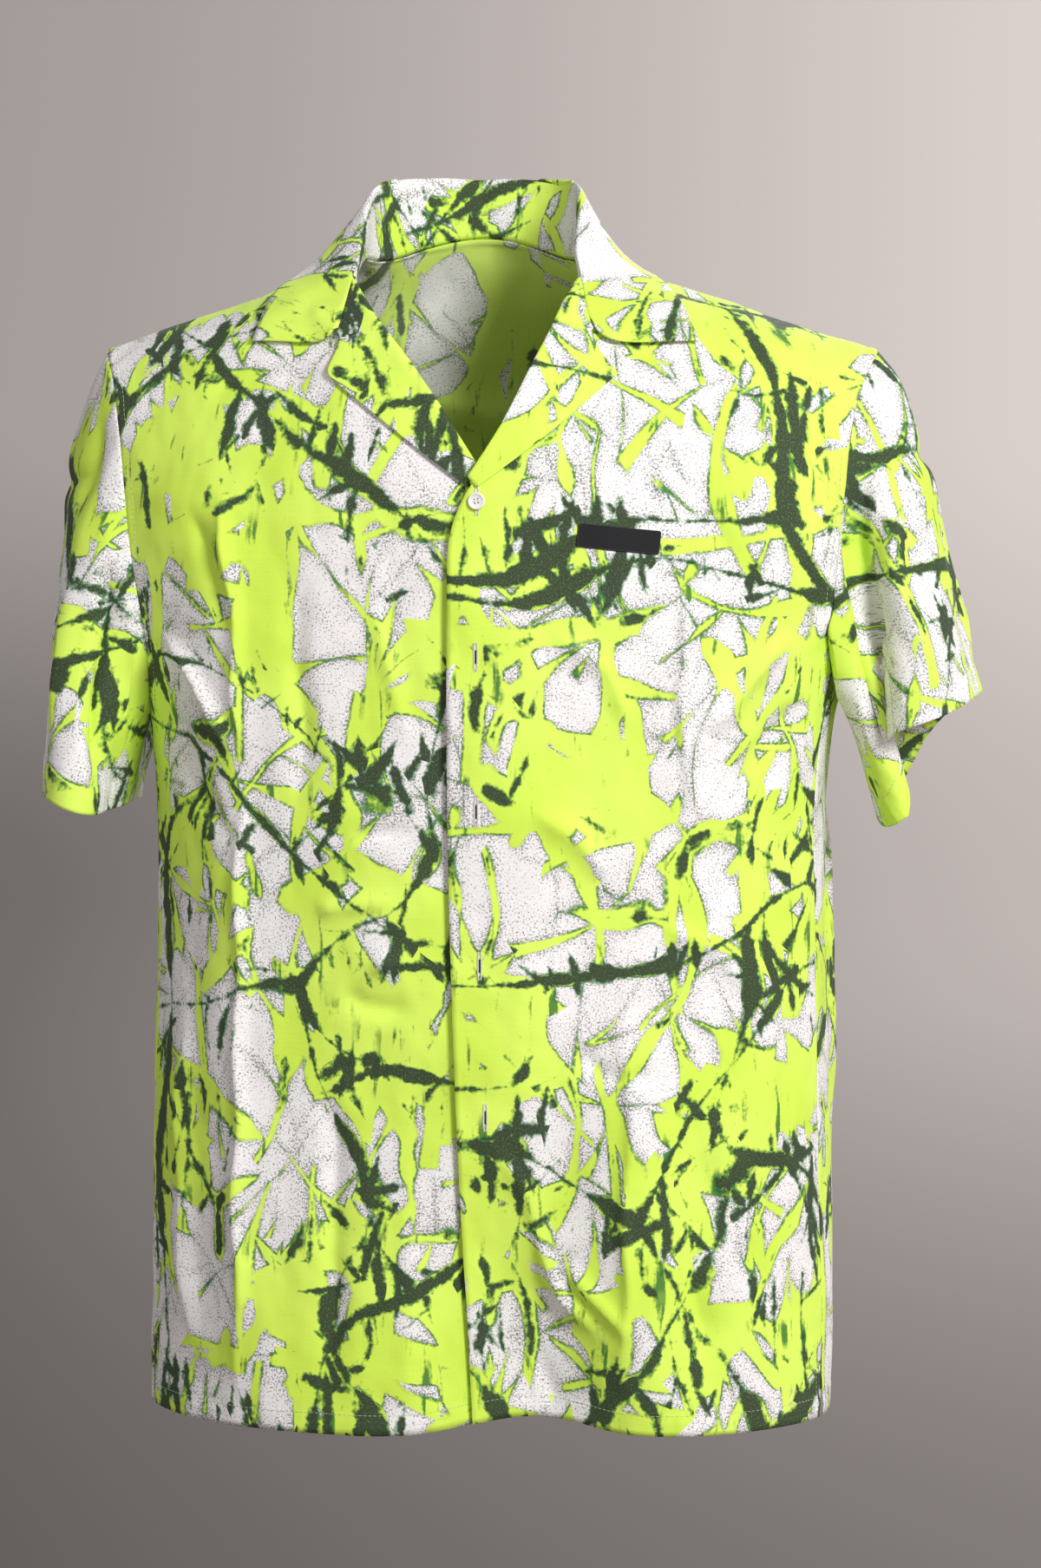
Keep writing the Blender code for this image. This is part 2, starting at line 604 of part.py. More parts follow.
def make_material(name):
    colour, roughness = COLOURS[name]
    material = bpy.data.materials.new(name)
    material.use_nodes = True
    shader = material.node_tree.nodes["Principled BSDF"]
    shader.inputs["Base Color"].default_value = colour
    shader.inputs["Roughness"].default_value = roughness
    shader.inputs["Metallic"].default_value = 0.0
    return material


def add_object(name, mesh, material, collection):
    mesh.shade_smooth()
    mesh.set_sharp_from_angle(angle=math.radians(50))
    mesh.materials.append(material)
    piece = bpy.data.objects.new(name, mesh)
    collection.objects.link(piece)
    return piece


def leaned(points):
    """The points moved sideways near the neck, which doesn't sit quite over the middle of the hem."""
    high = smooth_step(points[..., 2], LEAN_BOTTOM, ROLL_TOP) ** 2
    inner = 1 - smooth_step(np.abs(points[..., 0]), NECK_HALF, LEAN_REACH)
    points = points.copy()
    points[..., 0] += NECK_LEAN * high * inner
    return points


def drawn_in(points, closed):
    """The grid with its edges moved in from the lines that it shares with its neighbours."""
    points = points.copy()
    points[0] += unit(points[1] - points[0]) * EDGE_IN
    points[-1] += unit(points[-2] - points[-1]) * EDGE_IN
    if not closed:
        points[:, 0] += unit(points[:, 1] - points[:, 0]) * EDGE_IN
        points[:, -1] += unit(points[:, -2] - points[:, -1]) * EDGE_IN
    return points


def add_wall(name, points, material, collection, thick=WALL, closed=False):
    """A wall of even thickness on a grid of points."""
    points = leaned(drawn_in(points, closed))
    rows, columns = points.shape[0] - 1, points.shape[1] - 1
    bm = bmesh.new()
    bmesh.ops.create_grid(bm, x_segments=columns, y_segments=rows, size=1.0)
    for vert in bm.verts:
        column = round((vert.co.x + 1) / 2 * columns)
        row = round((vert.co.y + 1) / 2 * rows)
        vert.co = points[row, column]
    if closed:
        bmesh.ops.remove_doubles(bm, verts=bm.verts, dist=1e-6)
    mesh = bpy.data.meshes.new(name)
    bm.to_mesh(mesh)
    bm.free()
    piece = add_object(name, mesh, material, collection)
    solidify = piece.modifiers.new("wall", "SOLIDIFY")
    solidify.thickness = thick
    solidify.offset = 0.0
    return piece


def add_button(name, x, z, side, lift, material, collection):
    """A turned button with a rim and a dished middle, its back face lifted off the front."""
    own_x = np.array([x * SIDE_SIGN[side]])
    place, normal = lifted(front_surface(side), own_x, np.array([z]), [lift], (0, -1, 0))
    place, normal = mirrored(place, side)[0], mirrored(normal, side)[0]
    profile = [
        (0.0, 0.62 * BUTTON_THICK),
        (0.55 * BUTTON_RADIUS, 0.62 * BUTTON_THICK),
        (0.74 * BUTTON_RADIUS, BUTTON_THICK),
        (0.93 * BUTTON_RADIUS, 0.92 * BUTTON_THICK),
        (BUTTON_RADIUS, 0.55 * BUTTON_THICK),
        (0.80 * BUTTON_RADIUS, 0.0),
        (0.0, 0.0),
    ]
    bm = bmesh.new()
    verts = [bm.verts.new((radius, 0.0, height)) for radius, height in profile]
    for first, second in zip(verts, verts[1:]):
        bm.edges.new((first, second))
    mesh = bpy.data.meshes.new(name)
    bm.to_mesh(mesh)
    bm.free()
    piece = add_object(name, mesh, material, collection)
    screw = piece.modifiers.new("turned", "SCREW")
    screw.steps = screw.render_steps = 16
    screw.use_merge_vertices = True
    screw.merge_threshold = 0.00001
    piece.location = place
    piece.rotation_mode = "QUATERNION"
    piece.rotation_quaternion = Vector(normal).to_track_quat("Z", "Y")
    return piece


def build_shirt():
    for old in list(bpy.data.objects):
        bpy.data.objects.remove(old, do_unlink=True)
    collection = bpy.data.collections.new("camp_collar_shirt")
    bpy.context.scene.collection.children.link(collection)
    cloth, collar, label, button = (make_material(name) for name in COLOURS)
    for side in ("left", "right"):
        add_wall("front_" + side, front_grid(side), cloth, collection)
        add_wall("sleeve_" + side, sleeve_grid(side), cloth, collection, closed=True)
        add_wall("lapel_" + side, lapel_grid(side), collar, collection)
    add_wall("back", back_grid(), cloth, collection)
    add_wall("collar", collar_grid(), collar, collection)
    add_wall("label_patch", label_grid(), label, collection, thick=LABEL["thick"])
    for number in range(BUTTON_COUNT):
        z = TOP_BUTTON - number * BUTTON_STEP
        x = float(read_column(BUTTON_LINE, 1, z))
        side = "left" if number == 0 else "right"
        add_button(f"button_{number + 1}", x, z, side, WALL / 2 + LAYER_GAP, button, collection)


build_shirt()
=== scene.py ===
# Short-sleeved camp-collar shirt in a light printed weave, worn and hollow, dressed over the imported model.
# Metres, +Z up. The front faces -Y and the wearer's left is +X.
import math

import bmesh
import bpy
import numpy as np
from mathutils import Matrix, Vector, noise
from mathutils.bvhtree import BVHTree
from mathutils.geometry import barycentric_transform


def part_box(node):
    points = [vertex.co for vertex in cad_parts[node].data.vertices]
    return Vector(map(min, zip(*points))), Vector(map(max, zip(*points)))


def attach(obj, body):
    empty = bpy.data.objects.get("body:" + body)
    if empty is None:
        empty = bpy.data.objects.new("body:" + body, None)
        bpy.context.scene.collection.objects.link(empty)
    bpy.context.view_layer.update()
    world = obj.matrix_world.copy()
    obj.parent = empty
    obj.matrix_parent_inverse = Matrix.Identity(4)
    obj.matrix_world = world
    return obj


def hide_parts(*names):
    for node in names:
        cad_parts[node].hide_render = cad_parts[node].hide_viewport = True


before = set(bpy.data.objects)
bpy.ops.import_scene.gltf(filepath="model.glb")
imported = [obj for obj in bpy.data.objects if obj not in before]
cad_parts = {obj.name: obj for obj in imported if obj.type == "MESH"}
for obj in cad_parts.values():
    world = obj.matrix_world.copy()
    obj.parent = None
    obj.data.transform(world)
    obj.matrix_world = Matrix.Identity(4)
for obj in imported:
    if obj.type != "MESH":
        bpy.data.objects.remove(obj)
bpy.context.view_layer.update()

# Small tools


def only(*pieces):
    # leaves just these selected, the last one active
    bpy.ops.object.select_all(action="DESELECT")
    for piece in pieces:
        piece.select_set(True)
    bpy.context.view_layer.objects.active = pieces[-1]


def smoothStep(value, low, high):
    share = np.clip((np.asarray(value, float) - low) / (high - low), 0, 1)
    return share * share * (3 - 2 * share)


def unit(vectors):
    return vectors / np.maximum(np.linalg.norm(vectors, axis=-1, keepdims=True), 1e-12)


def readFrom(items, name, wide, kind=float):
    # one row for each item of a mesh, or one value where wide is 1
    values = np.empty(len(items) * wide, kind)
    items.foreach_get(name, values)
    return values.reshape(-1, wide) if wide > 1 else values


def pointsOf(piece):
    return readFrom(piece.data.vertices, "co", 3)


def normalsOf(piece):
    return readFrom(piece.data.vertices, "normal", 3)


def placePoints(piece, points):
    piece.data.vertices.foreach_set("co", np.ascontiguousarray(points, float).ravel())
    piece.data.update()


def edit(piece, action="SELECT"):
    only(piece)
    bpy.ops.object.mode_set(mode="EDIT")
    bpy.ops.mesh.select_all(action=action)


def finishWith(piece, kind, **settings):
    only(piece)
    modifier = piece.modifiers.new(kind.lower(), kind)
    for name, value in settings.items():
        setattr(modifier, name, value)
    bpy.ops.object.modifier_apply(modifier=modifier.name)


def placed(mesh, name):
    piece = bpy.data.objects.new(name, mesh)
    bpy.context.scene.collection.objects.link(piece)
    return piece


def newPiece(name, points, faces, edges=()):
    mesh = bpy.data.meshes.new(name)
    mesh.from_pydata([tuple(p) for p in points], edges, faces)
    mesh.update()
    mesh.shade_smooth()
    return placed(mesh, name)


def facedOneWay(piece, merge=0.0, inside=False):
    # double points closed, and every face turned out, or in
    edit(piece)
    if merge:
        bpy.ops.mesh.remove_doubles(threshold=merge)
    bpy.ops.mesh.normals_make_consistent(inside=inside)
    bpy.ops.object.mode_set(mode="OBJECT")


def spun(name, profile, steps, merge, inside=False):
    # a profile of (radius, height) taken round the upright axis
    edges = [(k, k + 1) for k in range(len(profile) - 1)]
    piece = newPiece(name, [(x, 0, z) for x, z in profile], [], edges)
    closed = {"use_merge_vertices": True, "merge_threshold": merge}
    finishWith(piece, "SCREW", steps=steps, render_steps=steps, **closed)
    facedOneWay(piece, merge, inside)
    return piece


def squares(rows, wide, first=0):
    # faces between points that were laid row after row
    starts = [first + row * wide + k for row in range(rows - 1) for k in range(wide - 1)]
    return [(a, a + wide, a + wide + 1, a + 1) for a in starts]


def cutOf(mesh):
    # the place of every face corner on the flat cut
    return readFrom(mesh.uv_layers["cut"].uv, "vector", 2)


def placeCut(mesh, flat):
    mesh.uv_layers["cut"].uv.foreach_set("vector", np.ascontiguousarray(flat).ravel())


def cornersOf(mesh):
    return readFrom(mesh.loops, "vertex_index", 1, int)


def mapped(piece, name, places):
    # a UV map from one place for each vertex
    layer = piece.data.uv_layers.new(name=name)
    for loop in piece.data.loops:
        layer.uv[loop.index].vector = places[loop.vertex_index]


def plug(tree, node, inputs):
    # links what is a socket and sets what is a value
    for socket, value in inputs.items():
        if isinstance(value, bpy.types.NodeSocket):
            tree.links.new(value, node.inputs[socket])
        else:
            node.inputs[socket].default_value = value


def addNode(tree, kind, inputs=None, **settings):
    made = tree.nodes.new(kind)
    for name, value in settings.items():
        setattr(made, name, value)
    plug(tree, made, inputs or {})
    return made


def maths(tree, operation, *values):
    return addNode(tree, "ShaderNodeMath", dict(enumerate(values)), operation=operation).outputs[0]


def vectorMaths(tree, operation, first, second):
    sockets = {0: first, "Scale" if operation == "SCALE" else 1: second}
    return addNode(tree, "ShaderNodeVectorMath", sockets, operation=operation).outputs[0]


def ramp(tree, value, low, high, toLow=0.0, toHigh=1.0):
    # toLow up to low, toHigh from high, smooth between
    sockets = {"Value": value, "From Min": low, "From Max": high, "To Min": toLow, "To Max": toHigh}
    return addNode(tree, "ShaderNodeMapRange", sockets, interpolation_type="SMOOTHSTEP").outputs[0]


def mixed(tree, share, first, second):
    return addNode(tree, "ShaderNodeMix", {0: share, 6: first, 7: second}, data_type="RGBA").outputs[2]


def noiseAt(tree, place, scale, detail=2.0, roughness=0.5, **more):
    sockets = {"Vector": place, "Scale": scale, "Detail": detail, "Roughness": roughness}
    return addNode(tree, "ShaderNodeTexNoise", sockets, **more).outputs[0]


def flatNoise(tree, place, scale, turn=0.0, detail=0.0, roughness=0.5):
    # noise on the flat cut alone, drawn out by its two scales
    spot = stretched(tree, place, scale, turn)
    return noiseAt(tree, spot, 1.0, detail, roughness, noise_dimensions="2D")


def wobbled(tree, place, scale, far):
    # a soft random move of up to half of far each way
    wander = addNode(tree, "ShaderNodeTexNoise", {"Vector": place, "Scale": scale, "Detail": 1.0})
    return vectorMaths(tree, "SCALE", wander.outputs["Color"], far)


def stretched(tree, place, scale, turn=0.0, shift=(0, 0, 0)):
    sockets = {"Vector": place, "Scale": (*scale, 1.0), "Rotation": (0, 0, turn), "Location": shift}
    return addNode(tree, "ShaderNodeMapping", sockets).outputs[0]


def bumped(tree, shader, height, strength, distance, under=None):
    sockets = {"Height": height, "Strength": strength, "Distance": distance}
    if under is not None:
        sockets["Normal"] = under
    bump = addNode(tree, "ShaderNodeBump", sockets).outputs[0]
    plug(tree, shader, {"Normal": bump})
    return bump


def newMaterial(name):
    material = bpy.data.materials.new(name)
    material.use_nodes = True
    tree = material.node_tree
    return material, tree, tree.nodes["Principled BSDF"]


# Camera, at the photo's angle

camera = {
    "azimuth": 5.0,
    "elevation": 6.0,
    "distance": 3.2,
    "target": (0.0195, 0.0, -0.345),
    "lens": 111.0,
}


def addCamera():
    turn, rise = math.radians(camera["azimuth"]), math.radians(camera["elevation"])
    back = Vector((math.sin(turn) * math.cos(rise), -math.cos(turn) * math.cos(rise), math.sin(rise)))
    bpy.ops.object.camera_add(location=Vector(camera["target"]) + back * camera["distance"])
    made = bpy.context.active_object
    made.rotation_euler = (-back).to_track_quat("-Z", "Y").to_euler()
    made.data.lens = camera["lens"]
    made.data.sensor_width = 36.0
    made.data.clip_end = 60.0
    bpy.context.scene.camera = made


addCamera()
print("camera placed")

# Printed cloth: white shards with dark specks on neon green strokes, with charcoal lines and marks

printLook = {
    "green": (0.725, 0.97, 0.135, 1),
    "deepGreen": (0.650, 0.89, 0.095, 1),
    "white": (0.90, 0.885, 0.880, 1),
    "speck": (0.110, 0.112, 0.100, 1),
    "charcoal": (0.047, 0.065, 0.036, 1),
    "blurGreen": (0.030, 0.175, 0.038, 1),
    "shardSize": 0.068,
    "shardTall": 0.62,
    # strokes: spacing, how much taller than wide, half length, half width, lean, spread of leans, point
    "strokes": [
        (0.052, 2.6, 0.072, 0.0058, 0.0, 0.35, 0.2),
        (0.082, 1.0, 0.055, 0.0062, 1.1, 1.0, 0.9),
        (0.078, 1.1, 0.058, 0.0060, -0.8, 1.1, 0.9),
        (0.058, 1.2, 0.036, 0.0040, 0.3, 3.0, 1.0),
        (0.049, 1.5, 0.034, 0.0036, -0.3, 2.2, 1.0),
    ],
    "marks": [
        (0.026, 3.4, 0.058, 0.0022, 0.0, 0.25, 0.5),
        (0.046, 1.1, 0.034, 0.0030, 0.9, 1.5, 0.9),
        (0.036, 1.6, 0.034, 0.0026, -0.6, 1.0, 0.9),
    ],
    # nets of long lines: size, height for width, turn, shift
    "lines": [(0.27, 1.0, 0.0, (0.4, 1.3, 0)), (0.37, 1.0, 0.0, (2.7, 0.2, 0))],
    # soft patches: scale of the noise, its low and high end, and what a value is at each
    "lineWidth": (15.0, 0.42, 0.70, -0.0002, 0.0060),
    "netWidth": (21.0, 0.38, 0.62, 0.0004, 0.0085),
    "moreGreen": (9.0, 0.42, 0.66, 0.0032, -0.0088),
    "deeper": (11.0, 0.40, 0.66, 0.0, 1.0),
    "streaked": (24.0, 0.46, 0.58, 0.0, 1.0),
    "outlined": (38.0, 0.40, 0.56, 0.15, 1.0),
    "marksApart": (14.0, 0.42, 0.66, 0.0046, -0.0026),
    "heartsIn": (19.0, 0.46, 0.62, 0.0130, 0.0054),
    "insideFade": (0.74, 0.80, 0.60, 1),
    "roughness": 0.78,
}


def strokes(tree, place, layer, number):
    # how far a place lies outside the nearest stroke, in metres: one tapered stroke in each cell
    spacing, tall, length, width, lean, spread, point = layer
    spot = stretched(tree, place, (1 / spacing, 1 / (spacing * tall)), 0.0, (7.3 * number, 3.9 * number, 0))
    sockets = {"Vector": spot, "Scale": 1.0, "Randomness": 0.9}
    cell = addNode(tree, "ShaderNodeTexVoronoi", sockets, voronoi_dimensions="2D")
    own = addNode(tree, "ShaderNodeSeparateColor", {0: cell.outputs["Color"]})
    local = vectorMaths(tree, "SUBTRACT", spot, cell.outputs["Position"])
    local = vectorMaths(tree, "MULTIPLY", local, (spacing, spacing * tall, 1))
    turn = maths(tree, "MULTIPLY_ADD", own.outputs[0], spread, lean - spread / 2)
    local = addNode(tree, "ShaderNodeVectorRotate", {"Vector": local, "Angle": turn}, rotation_type="Z_AXIS")
    parts = addNode(tree, "ShaderNodeSeparateXYZ", {0: local.outputs[0]})
    bow = maths(tree, "MULTIPLY", maths(tree, "MULTIPLY", parts.outputs[1], parts.outputs[1]),
                maths(tree, "MULTIPLY_ADD", own.outputs[2], 14.0, -7.0))
    across = maths(tree, "ABSOLUTE", maths(tree, "ADD", parts.outputs[0], bow))
    taper = maths(tree, "MULTIPLY_ADD", parts.outputs[1], -0.5 * point / length, 1 - 0.5 * point)
    half = maths(tree, "MULTIPLY_ADD", own.outputs[1], 1.3 * width, 0.35 * width)
    half = maths(tree, "MULTIPLY", taper, half)
    ends = maths(tree, "SUBTRACT", maths(tree, "ABSOLUTE", parts.outputs[1]), length)
    return maths(tree, "SMOOTH_MAX", maths(tree, "SUBTRACT", across, half), ends, 0.004)


def netDistance(tree, place, size, tall=1.0, turn=0.0, shift=(0, 0, 0)):
    # metres to the nearest edge of a net of uneven cells
    spot = stretched(tree, place, (1 / size, tall / size), turn, shift)
    sockets = {"Vector": spot, "Scale": 1.0, "Randomness": 1.0}
    edge = addNode(tree, "ShaderNodeTexVoronoi", sockets, voronoi_dimensions="2D", feature="DISTANCE_TO_EDGE")
    return maths(tree, "MULTIPLY", edge.outputs["Distance"], size)


def printColour(tree, place, fade):
    look = printLook

    def patches(name):
        scale, *between = look[name]
        return ramp(tree, noiseAt(tree, place, scale, 1.0), *between)

    bent = vectorMaths(tree, "ADD", place, wobbled(tree, place, 26.0, 0.0075))
    grain = noiseAt(tree, place, 900.0, 1.0, noise_dimensions="2D")
    fuzz = maths(tree, "SUBTRACT", noiseAt(tree, place, 330.0, 2.0, 0.65, noise_dimensions="2D"), 0.5)

    # long wandering lines, thick and thin
    swayed = vectorMaths(tree, "ADD", bent, wobbled(tree, place, 4.6, 0.17))
    thick = patches("lineWidth")
    nets = [netDistance(tree, swayed, *net) for net in look["lines"]]
    near = maths(tree, "MINIMUM", *nets)

    # green net between shards, spiky strokes across it, and a halo where a dark line is thick
    width = patches("netWidth")
    over = maths(tree, "SUBTRACT", netDistance(tree, bent, look["shardSize"], look["shardTall"], 0.12), width)
    for number, layer in enumerate(look["strokes"]):
        over = maths(tree, "MINIMUM", over, strokes(tree, bent, layer, number + 1))
    heart = over
    over = maths(tree, "ADD", over, patches("moreGreen"))
    halo = maths(tree, "MULTIPLY_ADD", thick, -1.7, maths(tree, "ADD", near, 0.0012))
    over = maths(tree, "MINIMUM", over, halo)
    over = maths(tree, "MULTIPLY_ADD", fuzz, 0.0016, over)
    shard = ramp(tree, over, -0.0003, 0.0004)

    # white with specks, thick at the edges and thin in the middle
    dense = maths(tree, "MULTIPLY_ADD", noiseAt(tree, place, 34.0, 1.0), -0.16, 0.648)
    dense = maths(tree, "ADD", dense, ramp(tree, over, 0.0, 0.0065, -0.085, 0.0))
    specks = maths(tree, "SUBTRACT", noiseAt(tree, place, 700.0, 2.0, 0.85), dense)
    whites = mixed(tree, ramp(tree, specks, 0.0, 0.06, 0.0, 0.80), look["white"], look["speck"])

    # green, a little uneven, with blurred streaks that run mostly up and down
    greens = mixed(tree, patches("deeper"), look["green"], look["deepGreen"])
    streaks = noiseAt(tree, stretched(tree, bent, (110.0, 14.0), 0.05), 1.0, 2.0, 0.6)
    streaks = maths(tree, "MULTIPLY_ADD", fuzz, 0.10, streaks)
    streaks = maths(tree, "MULTIPLY", ramp(tree, streaks, 0.585, 0.67), patches("streaked"))
    greens = mixed(tree, maths(tree, "MULTIPLY", streaks, 0.9), greens, look["blurGreen"])
    base = mixed(tree, shard, greens, whites)

    # thin dark edges round the shards, drawn and left out by turns
    line = ramp(tree, maths(tree, "ABSOLUTE", over), 0.0002, 0.0014, 1.0, 0.0)
    drawn = maths(tree, "MULTIPLY", patches("outlined"), ramp(tree, fuzz, -0.20, 0.05, 0.35, 1.0))
    line = maths(tree, "MULTIPLY", line, drawn)
    base = mixed(tree, maths(tree, "MULTIPLY", line, 0.9), base, look["blurGreen"])

    # charcoal: the wandering lines, marks gathered along them, and dark hearts in the widest green
    trail = maths(tree, "SUBTRACT", near, thick)
    gather = maths(tree, "MULTIPLY_ADD", near, 0.17, -0.0014)
    gather = maths(tree, "ADD", gather, patches("marksApart"))
    gather = maths(tree, "MAXIMUM", gather, -0.0014)
    for number, layer in enumerate(look["marks"]):
        marks = strokes(tree, bent, layer, number + 11)
        trail = maths(tree, "MINIMUM", trail, maths(tree, "ADD", marks, gather))
    heart = maths(tree, "ADD", heart, patches("heartsIn"))
    trail = maths(tree, "MINIMUM", trail, heart)
    trail = maths(tree, "MULTIPLY_ADD", fuzz, 0.0034, trail)
    rough = maths(tree, "SUBTRACT", noiseAt(tree, place, 95.0, 2.0, 0.6, noise_dimensions="2D"), 0.5)
    trail = maths(tree, "MULTIPLY_ADD", rough, 0.0075, trail)
    bleed = ramp(tree, trail, 0.0002, 0.0024, 0.85, 0.0)
    base = mixed(tree, bleed, base, look["blurGreen"])
    mark = ramp(tree, trail, -0.0003, 0.0005, 1.0, 0.0)
    mark = maths(tree, "MULTIPLY", mark, ramp(tree, grain, 0.34, 0.42, 0.6, 1.0))
    base = mixed(tree, mark, base, look["charcoal"])
    if fade > 0:
        base = mixed(tree, fade, base, look["insideFade"])
    return base


def clothMaterial(name, fade=0.0):
    # the print and the weave lie on the piece's own flat cut, whose UV map is in metres
    material, tree, shader = newMaterial(name)
    place = addNode(tree, "ShaderNodeUVMap", uv_map="cut").outputs[0]
    warp, weft = flatNoise(tree, place, (1900.0, 190.0)), flatNoise(tree, place, (170.0, 1700.0))
    threads = maths(tree, "MAXIMUM", warp, weft)
    height = maths(tree, "MULTIPLY_ADD", flatNoise(tree, place, (60.0, 520.0)), 0.5, threads)  # slubs
    crumple = flatNoise(tree, place, (44.0, 30.0), 0.3, 1.0, 0.55)
    rumple = bumped(tree, shader, crumple, 0.55, 0.0035)
    bumped(tree, shader, height, 0.35, 0.00025, rumple)
    rough = printLook["roughness"]
    plug(tree, shader, {
        "Base Color": printColour(tree, place, fade),
        "Roughness": ramp(tree, threads, 0.35, 0.70, rough + 0.08, rough - 0.08),
        "Sheen Weight": 0.07,
        "Sheen Roughness": 0.45,
        "Specular IOR Level": 0.2,
    })
    return material


printed = clothMaterial("printed_cloth")
printedInside = clothMaterial("printed_cloth_inside", 0.12)
print("cloth material made")

# From a packed wall to a fine open sheet


def spreadFrom(faces, follow):
    # groups of faces that meet at edges which follow allows, smallest first
    left, groups = set(faces), []
    while left:
        group, todo = [], [left.pop()]
        while todo:
            face = todo.pop()
            group.append(face)
            beside = {f for edge in face.edges if follow(edge) for f in edge.link_faces if f in left}
            left -= beside
            todo += beside
        groups.append(group)
    return sorted(groups, key=len)


def sidesOfWall(bm, thin=0.0005, thick=0.00148, stray=12):
    # a face of the rim has no other face a wall's thickness behind it, so without those faces the two
    # sides come apart; a few strays then go, and single faces that were missed are taken in
    tree = BVHTree.FromBMesh(bm)
    backed = []
    for face in bm.faces:
        behind = tree.ray_cast(face.calc_center_median() - face.normal * 0.00005, -face.normal)[3]
        if behind is not None and thin < behind < thick:
            backed.append(face)
    flat = [
        face
        for group in spreadFrom(backed, lambda edge: edge.calc_face_angle(4) < math.radians(60))
        if len(group) > stray
        for face in group
    ]
    sides = [set(side) for side in spreadFrom(flat, lambda edge: True)[-2:]]
    for side in sides:
        todo = list(side)
        while todo:
            for other in {f for edge in todo.pop().edges for f in edge.link_faces} - side:
                if sum(any(f in side for f in edge.link_faces) for edge in other.edges) > 1:
                    side.add(other)
                    todo.append(other)
    return sides


def outerWall(nodeName, pieceName, seen, about=None):
    # the side of a packed wall that is seen, as an open sheet of squares
    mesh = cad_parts[nodeName].data.copy()
    mesh.name = pieceName
    piece = placed(mesh, pieceName)
    mesh.materials.clear()
    while mesh.uv_layers:
        mesh.uv_layers.remove(mesh.uv_layers[0])
    edit(piece)
    bpy.ops.mesh.customdata_custom_splitnormals_clear()
    bpy.ops.mesh.remove_doubles(threshold=0.00002)
    bm = bmesh.from_edit_mesh(mesh)
    bm.normal_update()
    sides = sidesOfWall(bm)
    print(f"  {nodeName}: {len(bm.faces)} faces, sides of {[len(side) for side in sides]}")

    def towards(side):
        total = 0.0
        for face in side:
            look = Vector(seen)
            if about is not None:
                look = face.calc_center_median() - Vector(about)
                look.z = 0
                look.normalize()
            total += face.normal.dot(look) * face.calc_area()
        return total

    keep = max(sides, key=towards)
    for face in bm.faces:
        face.select_set(face not in keep)
    bmesh.update_edit_mesh(mesh)
    bpy.ops.mesh.delete(type="FACE")
    bpy.ops.mesh.select_all(action="SELECT")
    bpy.ops.mesh.fill_holes(sides=9)
    anyShape = {"face_threshold": math.pi, "shape_threshold": math.pi}
    bpy.ops.mesh.tris_convert_to_quads(topology_influence=1.0, **anyShape)
    bpy.ops.object.mode_set(mode="OBJECT")
    mesh.shade_smooth()
    return piece


def straightOn(bm, start):
    # the edges of one grid line, from a border vertex right across
    line = []
    inner = [edge for edge in start.link_edges if len(edge.link_faces) == 2]
    vert, edge = start, inner[0]
    while edge is not None:
        line.append(edge)
        vert = edge.other_vert(vert)
        beside = set(edge.link_faces)
        ahead = [
            other
            for other in vert.link_edges
            if other is not edge and len(other.link_faces) == 2 and not beside & set(other.link_faces)
        ]
        edge = ahead[0] if len(ahead) == 1 else None
    return line


def flattened(piece, up, seamAt=None):
    # the cut: unwrapped, scaled to metres and turned so that up on the cloth is up on the print
    edit(piece)
    mesh = piece.data
    if seamAt is not None:
        bm = bmesh.from_edit_mesh(mesh)
        border = [v for v in bm.verts if v.is_boundary]
        start = min(border, key=lambda v: (v.co - Vector(seamAt)).length)
        for edge in straightOn(bm, start):
            edge.seam = True
        bmesh.update_edit_mesh(mesh)
    bpy.ops.uv.unwrap(method="ANGLE_BASED", margin=0.0, correct_aspect=False)
    bpy.ops.object.mode_set(mode="OBJECT")
    mesh.uv_layers[0].name = "cut"
    flat = cutOf(mesh)
    solid = pointsOf(piece)[cornersOf(mesh)]
    mesh.calc_loop_triangles()
    triangles = readFrom(mesh.loop_triangles, "loops", 3, int).T
    a, b, c = flat[triangles]
    turns = np.cross(b - a, c - a)
    a, b, c = solid[triangles]
    realArea = np.linalg.norm(np.cross(b - a, c - a), axis=1).sum() / 2
    flat = (flat - flat.mean(axis=0)) * math.sqrt(2 * realArea / np.abs(turns).sum())
    if turns.sum() < 0:
        flat[:, 0] *= -1
    high = solid @ np.array(up, float)
    rise = np.linalg.lstsq(flat, high - high.mean(), rcond=None)[0]
    turn = math.pi / 2 - math.atan2(rise[1], rise[0])
    flat = flat @ np.array([[math.cos(turn), math.sin(turn)], [-math.sin(turn), math.cos(turn)]])
    placeCut(mesh, flat)
    size = np.ptp(flat, axis=0)
    print(f"  {piece.name}: cut {size[0]:.3f} x {size[1]:.3f} m, area {realArea:.4f}")


def pathDistance(flat, path):
    # distance to a line of points, and how far along it the nearest place lies
    path = np.array(path, float)
    steps = np.linalg.norm(np.diff(path, axis=0), axis=1)
    done = np.concatenate([[0], np.cumsum(steps)])
    best = np.full(len(flat), 1e9)
    along = np.zeros(len(flat))
    for k, step in enumerate(steps):
        run = (path[k + 1] - path[k]) / step
        t = np.clip((flat - path[k]) @ run, 0, step)
        off = np.linalg.norm(flat - path[k] - t[:, None] * run, axis=1)
        near = off < best
        best = np.where(near, off, best)
        along = np.where(near, done[k] + t, along)
    return best, along, done[-1]


viewPlanes = {  # the two axes that a crease is drawn on, and the way that its cloth faces
    "front": ((0, 2), (0, -1, 0)),
    "back": ((0, 2), (0, 1, 0)),
    "left": ((1, 2), (1, 0, 0)),
    "right": ((1, 2), (-1, 0, 0)),
}


